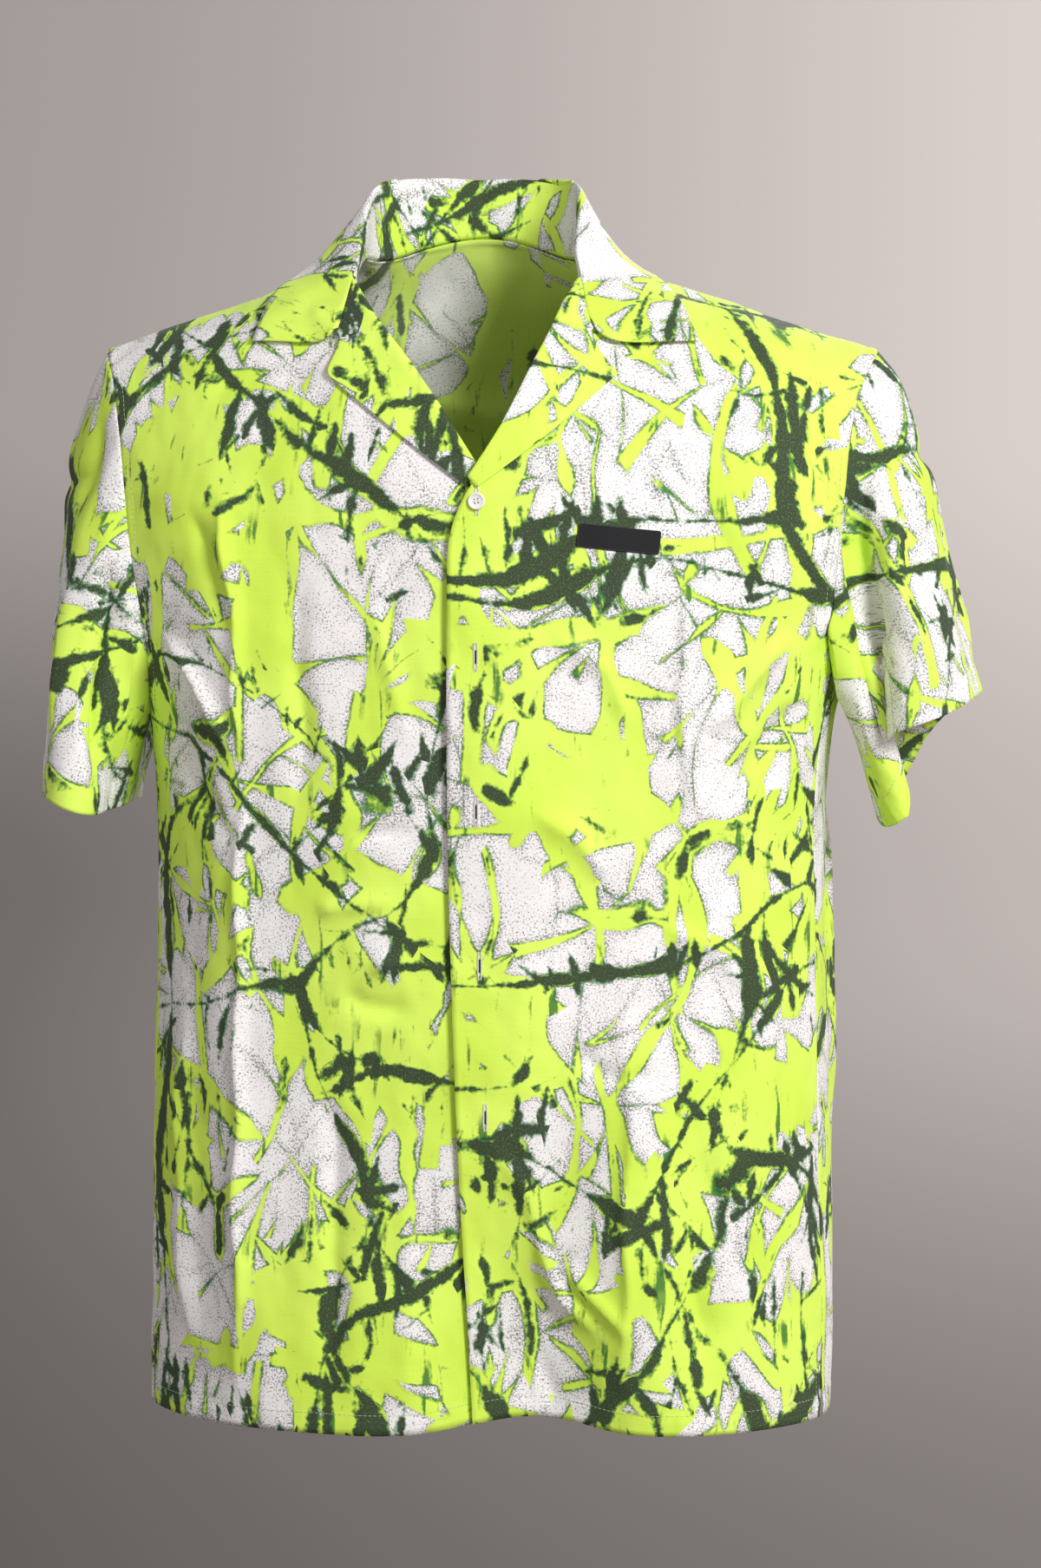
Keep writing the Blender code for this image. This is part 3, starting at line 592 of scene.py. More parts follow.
def creaseLift(points, normals, creases):
    lift = np.zeros(len(points))
    for number, (seenFrom, path, wide, high, sharp) in enumerate(creases):
        axes, look = viewPlanes[seenFrom]
        flat = points[:, axes]
        sway = 0.0022 * np.sin(flat[:, 1] * 61 + number) + 0.0014 * np.sin(flat[:, 0] * 97 + 2.0 * number)
        path = np.array(path).reshape(-1, 2) / 1000
        wide = wide / 1000
        off, along, length = pathDistance(flat + sway[:, None] * np.array([1.0, 0.6]), path)
        soft = np.exp(-((off / wide) ** 2))
        crisp = np.exp(-off / (0.55 * wide))
        ends = smoothStep(along, -0.02 * length, 0.22 * length)
        ends *= 1 - smoothStep(along, 0.72 * length, 1.02 * length)
        facing = smoothStep(normals @ np.array(look, float), 0.0, 0.35)
        lift += creaseDepth * high / 1000 * (soft * (1 - sharp) + crisp * sharp) * ends * facing
    return lift


def rumpled(points, size, tall, seed):
    # soft random waves, drawn out up and down as light cloth hangs
    spots = points / np.array([size, size, size * tall]) + seed
    return np.array([noise.noise(Vector(p)) for p in spots])


def creased(piece, creases, rumples, lap=0):
    # where the fronts overlap, creases only part the two layers: outwards on top (1), inwards below (-1)
    points, normals = pointsOf(piece), normalsOf(piece)
    lift = creaseLift(points, normals, creases)
    if lap:
        lapped = 1 - smoothStep(np.abs(points[:, 0]), 0.032, 0.056)
        lapped *= smoothStep(-points[:, 1], 0.02, 0.06)
        parting = np.maximum(lift * lap, 0.0) * lap * (0.35 if lap > 0 else 0.0)
        lift = lift * (1 - lapped) + parting * lapped
    for size, tall, high, seed in rumples:
        lift += high * rumpled(points, size, tall, seed)
    placePoints(piece, points + normals * lift[:, None])


# Where the cloth's edges are, in the solid form and on the flat cut


def evenly(line, spacing):
    steps = np.linalg.norm(np.diff(line, axis=0), axis=1)
    along = np.concatenate([[0], np.cumsum(steps)])
    want = np.linspace(0, along[-1], max(2, round(along[-1] / spacing) + 1))
    return np.stack([np.interp(want, along, line[:, k]) for k in range(line.shape[1])], axis=1)


def movedIn(line, offset, skip=0.0):
    # the line moved into the cut, without its first and last bit; border loops have the cloth on their left
    spacing = 0.002
    line = evenly(line, spacing)
    keepFrom, keepTo = round(skip / spacing), len(line) - round(skip / spacing)
    along = unit(np.gradient(line, axis=0))
    for _ in range(6):
        along[1:-1] = (along[:-2] + 2 * along[1:-1] + along[2:]) / 4
    inward = np.stack([-along[:, 1], along[:, 0]], axis=1)
    return (line + unit(inward) * offset)[keepFrom:keepTo]


def flatMap(piece):
    # finds the place on the cloth of a place on its cut
    mesh = piece.data
    mesh.calc_loop_triangles()
    loops = readFrom(mesh.loop_triangles, "loops", 3, int)
    verts = readFrom(mesh.loop_triangles, "vertices", 3, int)
    corners = np.concatenate([cutOf(mesh)[loops.ravel()], np.zeros((loops.size, 1))], axis=1)
    order = np.arange(loops.size).reshape(-1, 3)
    return {
        "tree": BVHTree.FromPolygons(corners.tolist(), order.tolist(), all_triangles=True),
        "flat": corners.reshape(-1, 3, 3),
        "solid": pointsOf(piece)[verts],
        "normal": normalsOf(piece)[verts],
    }


def onCloth(cloth, spot, lift=0.0):
    place, _, index, _ = cloth["tree"].find_nearest(Vector((spot[0], spot[1], 0.0)))
    flat = [Vector(p) for p in cloth["flat"][index]]
    point = barycentric_transform(place, *flat, *[Vector(p) for p in cloth["solid"][index]])
    normal = barycentric_transform(place, *flat, *[Vector(p) for p in cloth["normal"][index]]).normalized()
    return point + normal * lift, normal


# The cloth pieces

hem = {"front": -0.756, "side": -0.757, "back": -0.762, "vent": 0.050, "fold": 0.0135, "cuffFold": 0.0195}
clothThick = 0.0005
doubledThick = 0.0012  # collar and lapels are two layers
softWaves = [(0.062, 2.4, 0.0027, 3.1), (0.027, 1.5, 0.00115, 8.4)]  # size, drawn out, height, seed
creaseDepth = 2.5  # every crease's height is taken this many times
clothDetail = 3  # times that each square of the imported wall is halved

frontLeft = {
    "node": "front_left",
    "lap": 1,
    "printAt": (0.31, 0.17),
    "flat": (0.302, 0.817),
    "area": 0.198,
    # seen from, path (across and up by turns), half width, height (all in mm), sharpness
    "creases": [
        ("front", (132, -205, 134, -280, 137, -360), 5, 2.2, 0.8),
        ("front", (100, -485, 98, -600, 96, -730), 6, 2.4, 0.7),
        ("front", (36, -345, 60, -365, 88, -395), 7.5, 2.6, 0.5),
        ("front", (12, -560, 30, -592, 47, -640, 57, -668, 83, -694), 5.8, 4.2, 0.7),
        ("front", (62, -640, 80, -664, 100, -692), 5.2, 2.6, 0.6),
        ("front", (26, -672, 36, -700, 50, -745), 6, -3, 0.5),
        ("front", (0, -430, 22, -434, 40, -446), 6, -2.2, 0.5),
        ("front", (150, -300, 178, -262, 200, -235), 8.5, 2.8, 0.4),
        ("front", (165, -340, 190, -305, 208, -280), 8, -2.6, 0.4),
        ("front", (176, -430, 186, -520, 181, -610), 9.5, 2, 0.3),
        ("front", (150, -560, 146, -640, 150, -730), 9, -2.2, 0.3),
        ("front", (120, -115, 150, -160, 172, -205), 10, -1.8, 0.3),
        ("front", (60, -500, 85, -520, 118, -522), 6, -1.6, 0.4),
        ("front", (118, -420, 150, -440, 172, -470), 6.5, 1.7, 0.4),
        ("front", (50, -235, 82, -262, 104, -300), 8, 1.6, 0.3),
        ("front", (70, -55, 120, -62, 170, -78), 8, -1.4, 0.3),
    ],
}

frontRight = {
    "node": "front_right",
    "lap": -1,
    "printAt": (0.86, 0.52),
    "flat": (0.336, 0.815),
    "area": 0.205,
    "creases": [
        ("front", (-166, -145, -161, -170, -152, -320), 5.8, 2.6, 0.7),
        ("front", (-152, -320, -153, -520, -156, -745), 6.2, 2.6, 0.6),
        ("front", (-208, -240, -178, -282, -150, -318), 5.6, 3, 0.7),
        ("front", (-205, -290, -182, -330, -160, -375), 7, -2.2, 0.5),
        ("front", (-76, -366, -50, -363, -26, -362), 5, -2, 0.6),
        ("front", (-105, -415, -80, -412, -52, -408), 5, 1.8, 0.6),
        ("front", (-74, -455, -36, -442, -4, -440, 10, -446), 6, 3, 0.7),
        ("front", (-90, -470, -60, -476, -20, -480), 7.5, -2, 0.4),
        ("front", (-95, -520, -88, -620, -96, -735), 10, -2.4, 0.3),
        ("front", (-40, -560, -34, -650, -42, -745), 8.5, 2.2, 0.3),
        ("front", (-190, -480, -196, -590, -190, -720), 9, 2.2, 0.3),
        ("front", (-118, -200, -112, -280, -116, -360), 9.5, -2, 0.3),
        ("front", (-70, -220, -48, -265, -30, -320), 8.5, 1.6, 0.3),
        ("front", (-178, -85, -130, -70, -88, -74), 8.5, -1.4, 0.3),
        ("front", (-190, -160, -168, -200, -158, -240), 7.5, -1.8, 0.4),
    ],
}

back = {
    "node": "back",
    "printAt": (1.62, 0.31),
    "flat": (0.671, 0.818),
    "area": 0.463,
    "thinAt": -0.55,  # one grid line less here keeps it under its share of triangles
    "creases": [
        ("back", (-150, -130, -138, -210, -132, -330), 7.5, 2.8, 0.5),
        ("back", (-134, -380, -140, -550, -146, -750), 7, 3, 0.5),
        ("back", (150, -120, 132, -230, 126, -360), 7.5, 2.8, 0.5),
        ("back", (118, -420, 130, -580, 136, -750), 7.2, 3, 0.5),
        ("back", (-60, -330, -54, -520, -70, -745), 10, -2.8, 0.3),
        ("back", (60, -460, 52, -600, 64, -750), 9.5, -2.8, 0.3),
        ("back", (12, -520, 20, -640, 14, -755), 8, 3, 0.4),
        ("back", (-205, -245, -165, -300, -110, -345), 7.5, 3.4, 0.5),
        ("back", (-200, -305, -160, -360, -125, -392), 7.2, -2.6, 0.5),
        ("back", (205, -230, 168, -290, 112, -350), 7.8, 3.4, 0.5),
        ("back", (205, -285, 172, -345, 140, -372), 7.5, -2.6, 0.5),
        ("back", (-70, -95, 0, -108, 70, -92), 11, -2.2, 0.2),
        ("back", (-100, -452, -40, -446, 30, -458), 6.5, 2.2, 0.5),
        ("back", (0, -250, 60, -262, 100, -250), 7.5, 1.8, 0.4),
        ("back", (-100, -215, -50, -240, 0, -228), 7.5, -1.7, 0.4),
        ("back", (60, -392, 110, -402, 160, -382), 6.5, -2, 0.5),
        ("back", (-190, -500, -182, -620, -192, -740), 9, 2.6, 0.3),
        ("back", (186, -450, 180, -600, 190, -740), 9, -2.6, 0.3),
        ("back", (-180, -60, -120, -85, -85, -130), 8.5, -1.8, 0.3),
        ("back", (180, -60, 125, -88, 90, -140), 8.5, 1.8, 0.3),
        ("left", (40, -330, 10, -450, 20, -600), 8.5, 2.2, 0.3),
        ("right", (40, -330, 12, -450, 18, -600), 8.5, 2.2, 0.3),
    ],
}

sleeveLeft = {
    "node": "sleeve_left",
    "printAt": (2.45, 0.22),
    "flat": (0.50, 0.27),
    "area": 0.067,
    "creases": [
        ("front", (240, -140, 244, -220, 255, -300, 268, -330), 7, -6, 0.4),
        ("front", (262, -150, 272, -220, 290, -290), 8, 3, 0.4),
        ("front", (226, -215, 232, -270, 240, -330), 7, 2.6, 0.4),
        ("left", (-40, -80, -52, -150, -62, -230), 8.5, -2.4, 0.3),
        ("left", (10, -110, 14, -190, 8, -270), 9, 2.6, 0.3),
        ("left", (50, -90, 58, -170, 64, -260), 8, -2.4, 0.3),
        ("back", (236, -150, 246, -220, 262, -300), 7.5, -3.4, 0.4),
        ("back", (262, -170, 278, -240, 296, -295), 8, 2.8, 0.4),
        ("left", (-50, -118, 0, -128, 50, -114), 8, -1.6, 0.3),
    ],
}

sleeveRight = {
    "node": "sleeve_right",
    "printAt": (3.05, 0.64),
    "flat": (0.435, 0.30),
    "area": 0.067,
    "creases": [
        ("front", (-240, -190, -246, -260, -250, -350), 7, -4, 0.4),
        ("front", (-262, -140, -270, -220, -276, -320), 7.5, 2.8, 0.4),
        ("front", (-228, -200, -236, -280, -240, -340), 6.5, 2.4, 0.4),
        ("right", (-36, -90, -46, -180, -52, -300), 8.5, -2.4, 0.3),
        ("right", (6, -80, 12, -180, 4, -310), 9, 2.6, 0.3),
        ("right", (50, -100, 56, -200, 62, -310), 8, -2.4, 0.3),
        ("back", (-236, -160, -246, -240, -258, -330), 7.5, -3.4, 0.4),
        ("back", (-262, -170, -276, -250, -284, -330), 8, 2.8, 0.4),
        ("right", (-50, -138, 0, -150, 50, -134), 8, -1.6, 0.3),
    ],
}

collar = {
    "node": "collar",
    "printAt": (3.60, 0.25),
    "flat": (0.483, 0.135),
    "area": 0.043,
    "creases": [
        ("front", (-112, -30, -98, -45, -82, -52), 6, 0.8, 0.3),
        ("front", (100, -28, 88, -44, 74, -52), 6, 0.8, 0.3),
    ],
}

lapelLeft = {"node": "lapel_left", "printAt": (4.62, 0.31), "flat": (0.100, 0.165), "area": 0.0058}
lapelRight = {"node": "lapel_right", "printAt": (4.15, 0.55), "flat": (0.108, 0.165), "area": 0.0060}
garment = (frontLeft, frontRight, back, sleeveLeft, sleeveRight, collar, lapelLeft, lapelRight)


def madeOf(facts, seen, about=None, up=(0, 0, 1), seamAt=None):
    piece = outerWall(facts["node"], facts["node"] + "_cloth", seen, about)
    if "thinAt" in facts:
        edit(piece, "DESELECT")
        bm = bmesh.from_edit_mesh(piece.data)
        border = [v for v in bm.verts if v.is_boundary and v.co.x > 0.15]
        for edge in straightOn(bm, min(border, key=lambda v: abs(v.co.z - facts["thinAt"]))):
            edge.select_set(True)
        bmesh.update_edit_mesh(piece.data)
        bpy.ops.mesh.dissolve_edges(use_verts=True)
        bpy.ops.object.mode_set(mode="OBJECT")
    flattened(piece, up, seamAt)
    borders = {"boundary_smooth": "PRESERVE_CORNERS", "uv_smooth": "PRESERVE_BOUNDARIES"}
    finishWith(piece, "SUBSURF", levels=clothDetail, render_levels=clothDetail, **borders)
    creased(piece, facts.get("creases", []), softWaves, facts.get("lap", 0))
    return piece


cloth = {
    "front_left": madeOf(frontLeft, (0, -1, 0), (0, 0, 0)),
    "front_right": madeOf(frontRight, (0, -1, 0), (0, 0, 0)),
    "back": madeOf(back, (0, 1, 0), (0, 0, 0)),
    "sleeve_left": madeOf(sleeveLeft, (1, 0, 0), (0.262, 0.0, 0.0), seamAt=(0.256, 0.004, -0.366)),
    "sleeve_right": madeOf(sleeveRight, (-1, 0, 0), (-0.258, 0.0, 0.0), seamAt=(-0.2405, -0.004, -0.357)),
    "collar": madeOf(collar, (0, 0, 1), up=(0, 1, 0)),
    "lapel_left": madeOf(lapelLeft, (0, -1, 0)),
    "lapel_right": madeOf(lapelRight, (0, -1, 0)),
}
print("cloth pieces shaped:", {name: len(piece.data.polygons) for name, piece in cloth.items()})

# Seams: the pieces' edges are brought together and sunk a little

seams = {"reach": 0.0036, "lapelReach": 0.0050, "neckReach": 0.0062, "sink": 0.0006, "past": 0.0003}


def borderVerts(piece):
    # the vertices and the edges of a piece's open borders
    edges = np.array([edge.vertices[:] for edge in piece.data.edges])
    uses = np.zeros(len(edges), int)
    number = {tuple(sorted(pair)): k for k, pair in enumerate(edges.tolist())}
    for face in piece.data.polygons:
        for pair in face.edge_keys:
            uses[number[tuple(sorted(pair))]] += 1
    single = edges[uses == 1]
    return np.unique(single), single


def closestOn(spots, first, second):
    # for each spot, the closest point on any of the short edges from first to second
    closest = np.empty_like(spots)
    gaps = np.empty(len(spots))
    run = second - first
    long2 = np.maximum((run**2).sum(axis=1), 1e-14)
    for k, spot in enumerate(spots):
        t = np.clip(((spot - first) * run).sum(axis=1) / long2, 0, 1)
        on = first + t[:, None] * run
        off = ((on - spot) ** 2).sum(axis=1)
        best = int(off.argmin())
        closest[k], gaps[k] = on[best], math.sqrt(off[best])
    return closest, gaps


def seamAllowed(name, other, spots):
    # the vents, the laps and the free ends of the collar and lapels aren't sewn
    pair = {name, other}
    if pair <= {"front_left", "front_right", "back"}:
        return spots[:, 2] > hem["side"] + hem["vent"]
    if "collar" in pair and pair & {"lapel_left", "lapel_right"}:
        return np.abs(spots[:, 0] + 0.010) < 0.082
    return np.ones(len(spots), bool)


meetings = [  # what each piece is sewn to, in this order
    *[(one, "back") for one in ("front_left", "front_right")],
    *[(one, "sleeve_left") for one in ("front_left", "back")],
    *[(one, "sleeve_right") for one in ("front_right", "back")],
    *[("front_left", "lapel_left"), ("front_right", "lapel_right")],
    *[("collar", other) for other in ("back", "front_left", "front_right", "lapel_left", "lapel_right")],
]


def sewTogether():
    borders = {name: borderVerts(piece) for name, piece in cloth.items()}
    points = {name: pointsOf(piece) for name, piece in cloth.items()}
    normals = {name: normalsOf(piece) for name, piece in cloth.items()}
    moved = {name: points[name].copy() for name in cloth}
    nearest = {name: np.full(len(points[name]), 1e9) for name in cloth}
    partner = {name: np.full(len(points[name]), "", dtype=object) for name in cloth}
    for one, two in meetings:
        for name, other in ((one, two), (two, one)):
            reach = seams["neckReach"] if "collar" in (name, other) else seams["reach"]
            if "lapel_left" in (name, other) or "lapel_right" in (name, other):
                reach = max(reach, seams["lapelReach"])
            verts = borders[name][0]
            spots = points[name][verts]
            edges = borders[other][1]
            on, gap = closestOn(spots, points[other][edges[:, 0]], points[other][edges[:, 1]])
            take = (gap < reach) & (gap < nearest[name][verts]) & seamAllowed(name, other, spots)
            towards = unit(on - spots)
            goal = (spots + on) / 2 + towards * seams["past"] - normals[name][verts] * seams["sink"]
            moved[name][verts[take]] = goal[take]
            nearest[name][verts[take]] = gap[take]
            partner[name][verts[take]] = other
    for name, piece in cloth.items():
        placePoints(piece, moved[name])
    return partner


joined = sewTogether()
print("seams closed")

# Edge lines of each cut, for the sewing


def borderLoops(piece):
    # the borders in order, with the cloth on their left: vertex numbers and places on the flat cut
    bm = bmesh.new()
    bm.from_mesh(piece.data)
    layer = bm.loops.layers.uv["cut"]
    following = {}
    for edge in bm.edges:
        if len(edge.link_faces) == 1:
            loop = edge.link_loops[0]
            following[loop.vert.index] = (loop.link_loop_next.vert.index, tuple(loop[layer].uv))
    bm.free()
    loops = []
    while following:
        at = next(iter(following))
        run = []
        while at in following:
            after, flat = following.pop(at)
            run.append((at, *flat))
            at = after
        loops.append(run)
    return loops


def runsOf(name, test, parted=0.03, least=0.02):
    # the stretches of a piece's border whose points pass the test, as lines on its flat cut
    piece = cloth[name]
    points = pointsOf(piece)
    found = []
    for loop in borderLoops(piece):
        verts = np.array([at for at, _, _ in loop])
        flat = np.array([spot for _, *spot in loop])
        good = test(points[verts], joined[name][verts])
        jumps = np.linalg.norm(flat - np.roll(flat, 1, axis=0), axis=1) > parted
        stops = np.flatnonzero(~good | jumps)
        first = int(stops[0]) if len(stops) else 0
        run = []
        for k in [*range(first, len(loop)), *range(first)]:
            if jumps[k] or not good[k]:
                found.append(run)
                run = []
            if good[k]:
                run.append(flat[k])
        found.append(run)
    runs = [np.array(run) for run in found if len(run) > 3]
    return [run for run in runs if np.linalg.norm(np.diff(run, axis=0), axis=1).sum() > least]


def atHem(name):
    level = {"front_left": hem["front"], "front_right": hem["front"], "back": hem["back"]}[name]
    return runsOf(name, lambda points, partner: points[:, 2] < level + 0.010)


def atCuff(name):
    return runsOf(name, lambda points, partner: (partner == "") & (points[:, 2] < -0.20))


def atArmhole(name, sleeve):
    return runsOf(name, lambda points, partner: partner == sleeve)


def atVent(name, side):
    low, high = hem["side"] + 0.006, hem["side"] + hem["vent"] + 0.004

    def onVent(points, partner):
        return (side * points[:, 0] > 0.17) & (points[:, 2] > low) & (points[:, 2] < high)

    return runsOf(name, onVent)


def flatOf(piece):
    # one place on the flat cut for each vertex
    spots = np.empty((len(piece.data.vertices), 2))
    spots[cornersOf(piece.data)] = cutOf(piece.data)
    return spots


def pressedFold(piece, line, fold, raised, groove, pucker, seed=0.0):
    # a turned hem: raised a little up to its stitching, which pulls in and puckers
    flat = flatOf(piece)
    off, along, _ = pathDistance(flat, evenly(line, 0.004))
    near = off < fold + 0.03
    lift = raised * (1 - smoothStep(off, fold - 0.0012, fold + 0.0008))
    lift -= groove * np.exp(-(((off - fold) / 0.0011) ** 2))
    wave = np.sin(along * 560 + 2.1 * np.sin(along * 83 + seed))
    wave *= 0.6 + 0.4 * np.sin(along * 47 + 1.7 * seed)
    lift += pucker * wave * np.exp(-(((off - 0.75 * fold) / (0.45 * fold + 0.002)) ** 2))
    placePoints(piece, pointsOf(piece) + normalsOf(piece) * (lift * near)[:, None])


sewn = {  # each sewn line: its piece, border line, distance in, rise of the fold, groove, pucker
    "hem": [(name, line, hem["fold"], 0.00032, 0.00030, 0.00030)
            for name in ("front_left", "front_right", "back") for line in atHem(name)],
    "cuff": [(name, line, hem["cuffFold"], 0.00034, 0.00030, 0.00034)
             for name in ("sleeve_left", "sleeve_right") for line in atCuff(name)],
    "armhole": [(name, line, 0.0055, 0.00020, 0.00018, 0.00016)
                for name, sleeve in meetings if "sleeve" in sleeve for line in atArmhole(name, sleeve)],
    "vent": [(name, line, 0.0060, 0.00022, 0.00018, 0.00012)
             for name, side in (("front_left", 1), ("front_right", -1), ("back", 1), ("back", -1))
             for line in atVent(name, side)],
}
for kind, found in sewn.items():
    for number, (name, line, fold, raised, groove, pucker) in enumerate(found):
        pressedFold(cloth[name], line, fold, raised, groove, pucker, number * 1.3)
        print(f"  {kind} on {name}: {np.linalg.norm(np.diff(line, axis=0), axis=1).sum():.3f} m")
print("hems pressed")

# Threads: short bars that arch out of the cloth

sewingLook = {"pitch": 0.0033, "length": 0.0025, "thick": 0.00017, "arch": 0.00012}
sewingLook |= {"lift": 0.00012, "colour": (0.60, 0.66, 0.46, 1)}
satinLook = {"pitch": 0.00040, "thick": 0.00021, "arch": 0.00030, "colour": (0.83, 0.82, 0.80, 1)}


def threadMaterial(name, colour, roughness=0.62, sheen=0.2):
    material, tree, shader = newMaterial(name)
    place = addNode(tree, "ShaderNodeTexCoord").outputs["Object"]
    twist = noiseAt(tree, place, 1800.0, 2.0, 0.6)
    # darker where the twist's bump sinks: painted shade in the thread's hollows
    darker = tuple(0.72 * part for part in colour[:3]) + (1,)
    bumped(tree, shader, twist, 0.4, 0.0001)
    shade = mixed(tree, ramp(tree, twist, 0.35, 0.65), darker, colour)
    plug(tree, shader, {"Base Color": shade, "Roughness": roughness, "Sheen Weight": sheen})
    return material


sewingThread = threadMaterial("sewing_thread", sewingLook["colour"])
whiteThread = threadMaterial("white_thread", satinLook["colour"], 0.5)


def threadBars(name, stitches, look, material, sides=5):
    # joins one small bar for each stitch, from first to last, that sinks at both ends
    shape = ((0.0, 0.3, -0.8), (0.2, 1.0, 0.5), (0.5, 1.1, 1.0), (0.8, 1.0, 0.5), (1.0, 0.3, -0.8))
    thick, arch = look["thick"], look["arch"]
    points, faces = [], []
    for first, last, normal in stitches:
        run = last - first
        side = normal.cross(run).normalized()
        up = run.cross(side).normalized()
        base = len(points)
        for share, wide, high in shape:
            middle = first + run * share + up * arch * high
            for k in range(sides):
                turn = math.tau * k / sides
                points.append(middle + (side * math.cos(turn) + up * math.sin(turn)) * thick * wide)
        for ring in range(len(shape) - 1):
            for k in range(sides):
                a, b = base + ring * sides + k, base + ring * sides + (k + 1) % sides
                faces.append((a, b, b + sides, a + sides))
        faces.append(tuple(range(base + sides - 1, base - 1, -1)))
        faces.append(tuple(range(len(points) - sides, len(points))))
    piece = newPiece(name, points, faces)
    facedOneWay(piece)
    piece.data.materials.append(material)
    return piece


def stitchLine(flatCloth, line, offset, skip):
    path = evenly(movedIn(line, offset, skip), sewingLook["pitch"])
    share = sewingLook["length"] / sewingLook["pitch"]
    stitches = []
    for k in range(len(path) - 1):
        first, normal = onCloth(flatCloth, path[k], sewingLook["lift"])
        last, _ = onCloth(flatCloth, path[k] + (path[k + 1] - path[k]) * share, sewingLook["lift"])
        stitches.append((first, last, normal))
    return stitches


flatCloths = {name: flatMap(piece) for name, piece in cloth.items()}
skips = {"hem": 0.004, "cuff": 0.0, "armhole": 0.004, "vent": 0.0}  # left free at the ends of a line
sewing = {}
for kind, found in sewn.items():
    stitches = []
    for name, line, fold, *_ in found:
        stitches += stitchLine(flatCloths[name], line, fold, skips[kind])
    sewing[kind] = threadBars(f"{kind}_stitches", stitches, sewingLook, sewingThread)
    print(f"  {kind}: {len(stitches)} stitches")
print("stitching laid")

# Turned-in hems, seen inside the cuffs and the hem

band = {"from": 0.0003, "past": 0.0012, "gap": 0.00018, "thick": 0.0004}  # fold to past the stitching


def turnedIn(name, found):
    # bands inside the cloth, up to the stitching; the print's right side shows, mirrored at the fold
    points, faces, places = [], [], []
    for _, line, fold, *_ in found:
        rows = [band["from"], 0.35 * fold, 0.7 * fold, fold + band["past"]]
        lines = [movedIn(line, offset) for offset in rows]
        mirrored = [movedIn(line, -offset) for offset in rows]
        keep = range(0, len(lines[0]), 2)
        faces += squares(len(keep), len(rows), len(points))
        for k in keep:
            for row in range(len(rows)):
                spot, _ = onCloth(flatCloths[name], lines[row][k], -(clothThick + band["gap"]))
                points.append(spot)
                places.append(mirrored[row][k])
    piece = newPiece(f"{name}_turned_in", points, faces)
    mapped(piece, "cut", places)
    finishWith(piece, "SOLIDIFY", thickness=band["thick"], offset=0.0)
    return piece


bands = {}
for name in ("front_left", "front_right", "back", "sleeve_left", "sleeve_right"):
    found = [entry for kind in ("hem", "cuff") for entry in sewn[kind] if entry[0] == name]
    bands[name] = turnedIn(name, found)
print("hems turned in")

# Thickness and print on the cloth

for facts in garment:
    name = facts["node"]
    piece = cloth[name]
    doubled = name in ("collar", "lapel_left", "lapel_right")
    piece.data.materials.append(printed)
    piece.data.materials.append(printed if doubled else printedInside)
    thick = doubledThick if doubled else clothThick
    finishWith(piece, "SOLIDIFY", thickness=thick, offset=-1.0, material_offset=1)
    if name in bands:
        bands[name].data.materials.append(printed)
        only(bands[name], piece)
        bpy.ops.object.join()
    placeCut(piece.data, cutOf(piece.data) + np.array(facts["printAt"]))
print("cloth thickened")

# Places on the chest


def surfaceTree(piece):
    faces = [tuple(face.vertices) for face in piece.data.polygons]
    return BVHTree.FromPolygons(pointsOf(piece).tolist(), faces)


chest = surfaceTree(cloth["front_left"])
chestBelow = surfaceTree(cloth["front_right"])


def onChest(x, z, lift=0.0, tree=chest):
    spot, normal, _, _ = tree.ray_cast(Vector((x, -0.6, z)), Vector((0, 1, 0)))
    if normal.y > 0:
        normal = -normal
    return spot + normal * lift, normal


def boxMiddle(node):
    low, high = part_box(node)
    return (low + high) / 2


# Buttonholes, worked in white satin stitch, up and down near the front edge

buttonhole = {"length": 0.0177, "width": 0.0034, "slit": 0.0090, "slitWidth": 0.0009, "bar": 0.0013}
buttonNames = [f"button_{k}" for k in range(1, 6)]

# the slits are near-black sheets laid on the chest: painted shade in place of each shadowed opening
slitShadeCloth, slitTree, slitShader = newMaterial("buttonhole_shadow_slit")
plug(slitTree, slitShader, {"Base Color": (0.012, 0.013, 0.011, 1), "Roughness": 0.9})


def buttonholeStitches(x, z):
    half, inner, outer = buttonhole["length"] / 2, buttonhole["slitWidth"] / 2, buttonhole["width"] / 2
    stitches = []
    count = round(buttonhole["length"] / satinLook["pitch"])
    for k in range(count + 1):
        at = -half + buttonhole["length"] * k / count
        tack = half - abs(at) < buttonhole["bar"]
        for side in (-1, 1):
            first, normal = onChest(x + side * (0.0001 if tack else inner), z + at, 0.0002)
            last, _ = onChest(x + side * outer * (0.82 if tack else 1.0), z + at + 0.00006 * side, 0.0001)
            stitches.append((first, last, normal))
    return stitches


def slitPiece(name, x, z):
    # a thin near-black sheet along the slit: painted shade for the opening
    points = []
    rings = 9
    for k in range(rings):
        share = 2 * k / (rings - 1) - 1
        wide = buttonhole["slitWidth"] * (0.25 + 0.75 * math.sqrt(max(0.0, 1 - share * share)))
        for side in (-1, 0, 1):
            spot, _ = onChest(x + side * wide, z + share * buttonhole["slit"] / 2, 0.00014)
            points.append(spot)
    faces = [(a, a + 1, a + 4, a + 3) for k in range(rings - 1) for a in (3 * k, 3 * k + 1)]
    piece = newPiece(name, points, faces)
    piece.data.materials.append(slitShadeCloth)
    finishWith(piece, "SOLIDIFY", thickness=0.00008, offset=0.0)
    return piece


buttonholes = []
for number, node in enumerate(buttonNames):
    middle = boxMiddle(node)
    stitches = buttonholeStitches(middle.x, middle.z)
    worked = threadBars(f"buttonhole_{number + 1}", stitches, satinLook, whiteThread)
    buttonholes += [worked, slitPiece(f"buttonhole_shadow_slit_{number + 1}", middle.x, middle.z)]
print("buttonholes worked")

# Buttons: white, four holes, a rim round a shallow dish

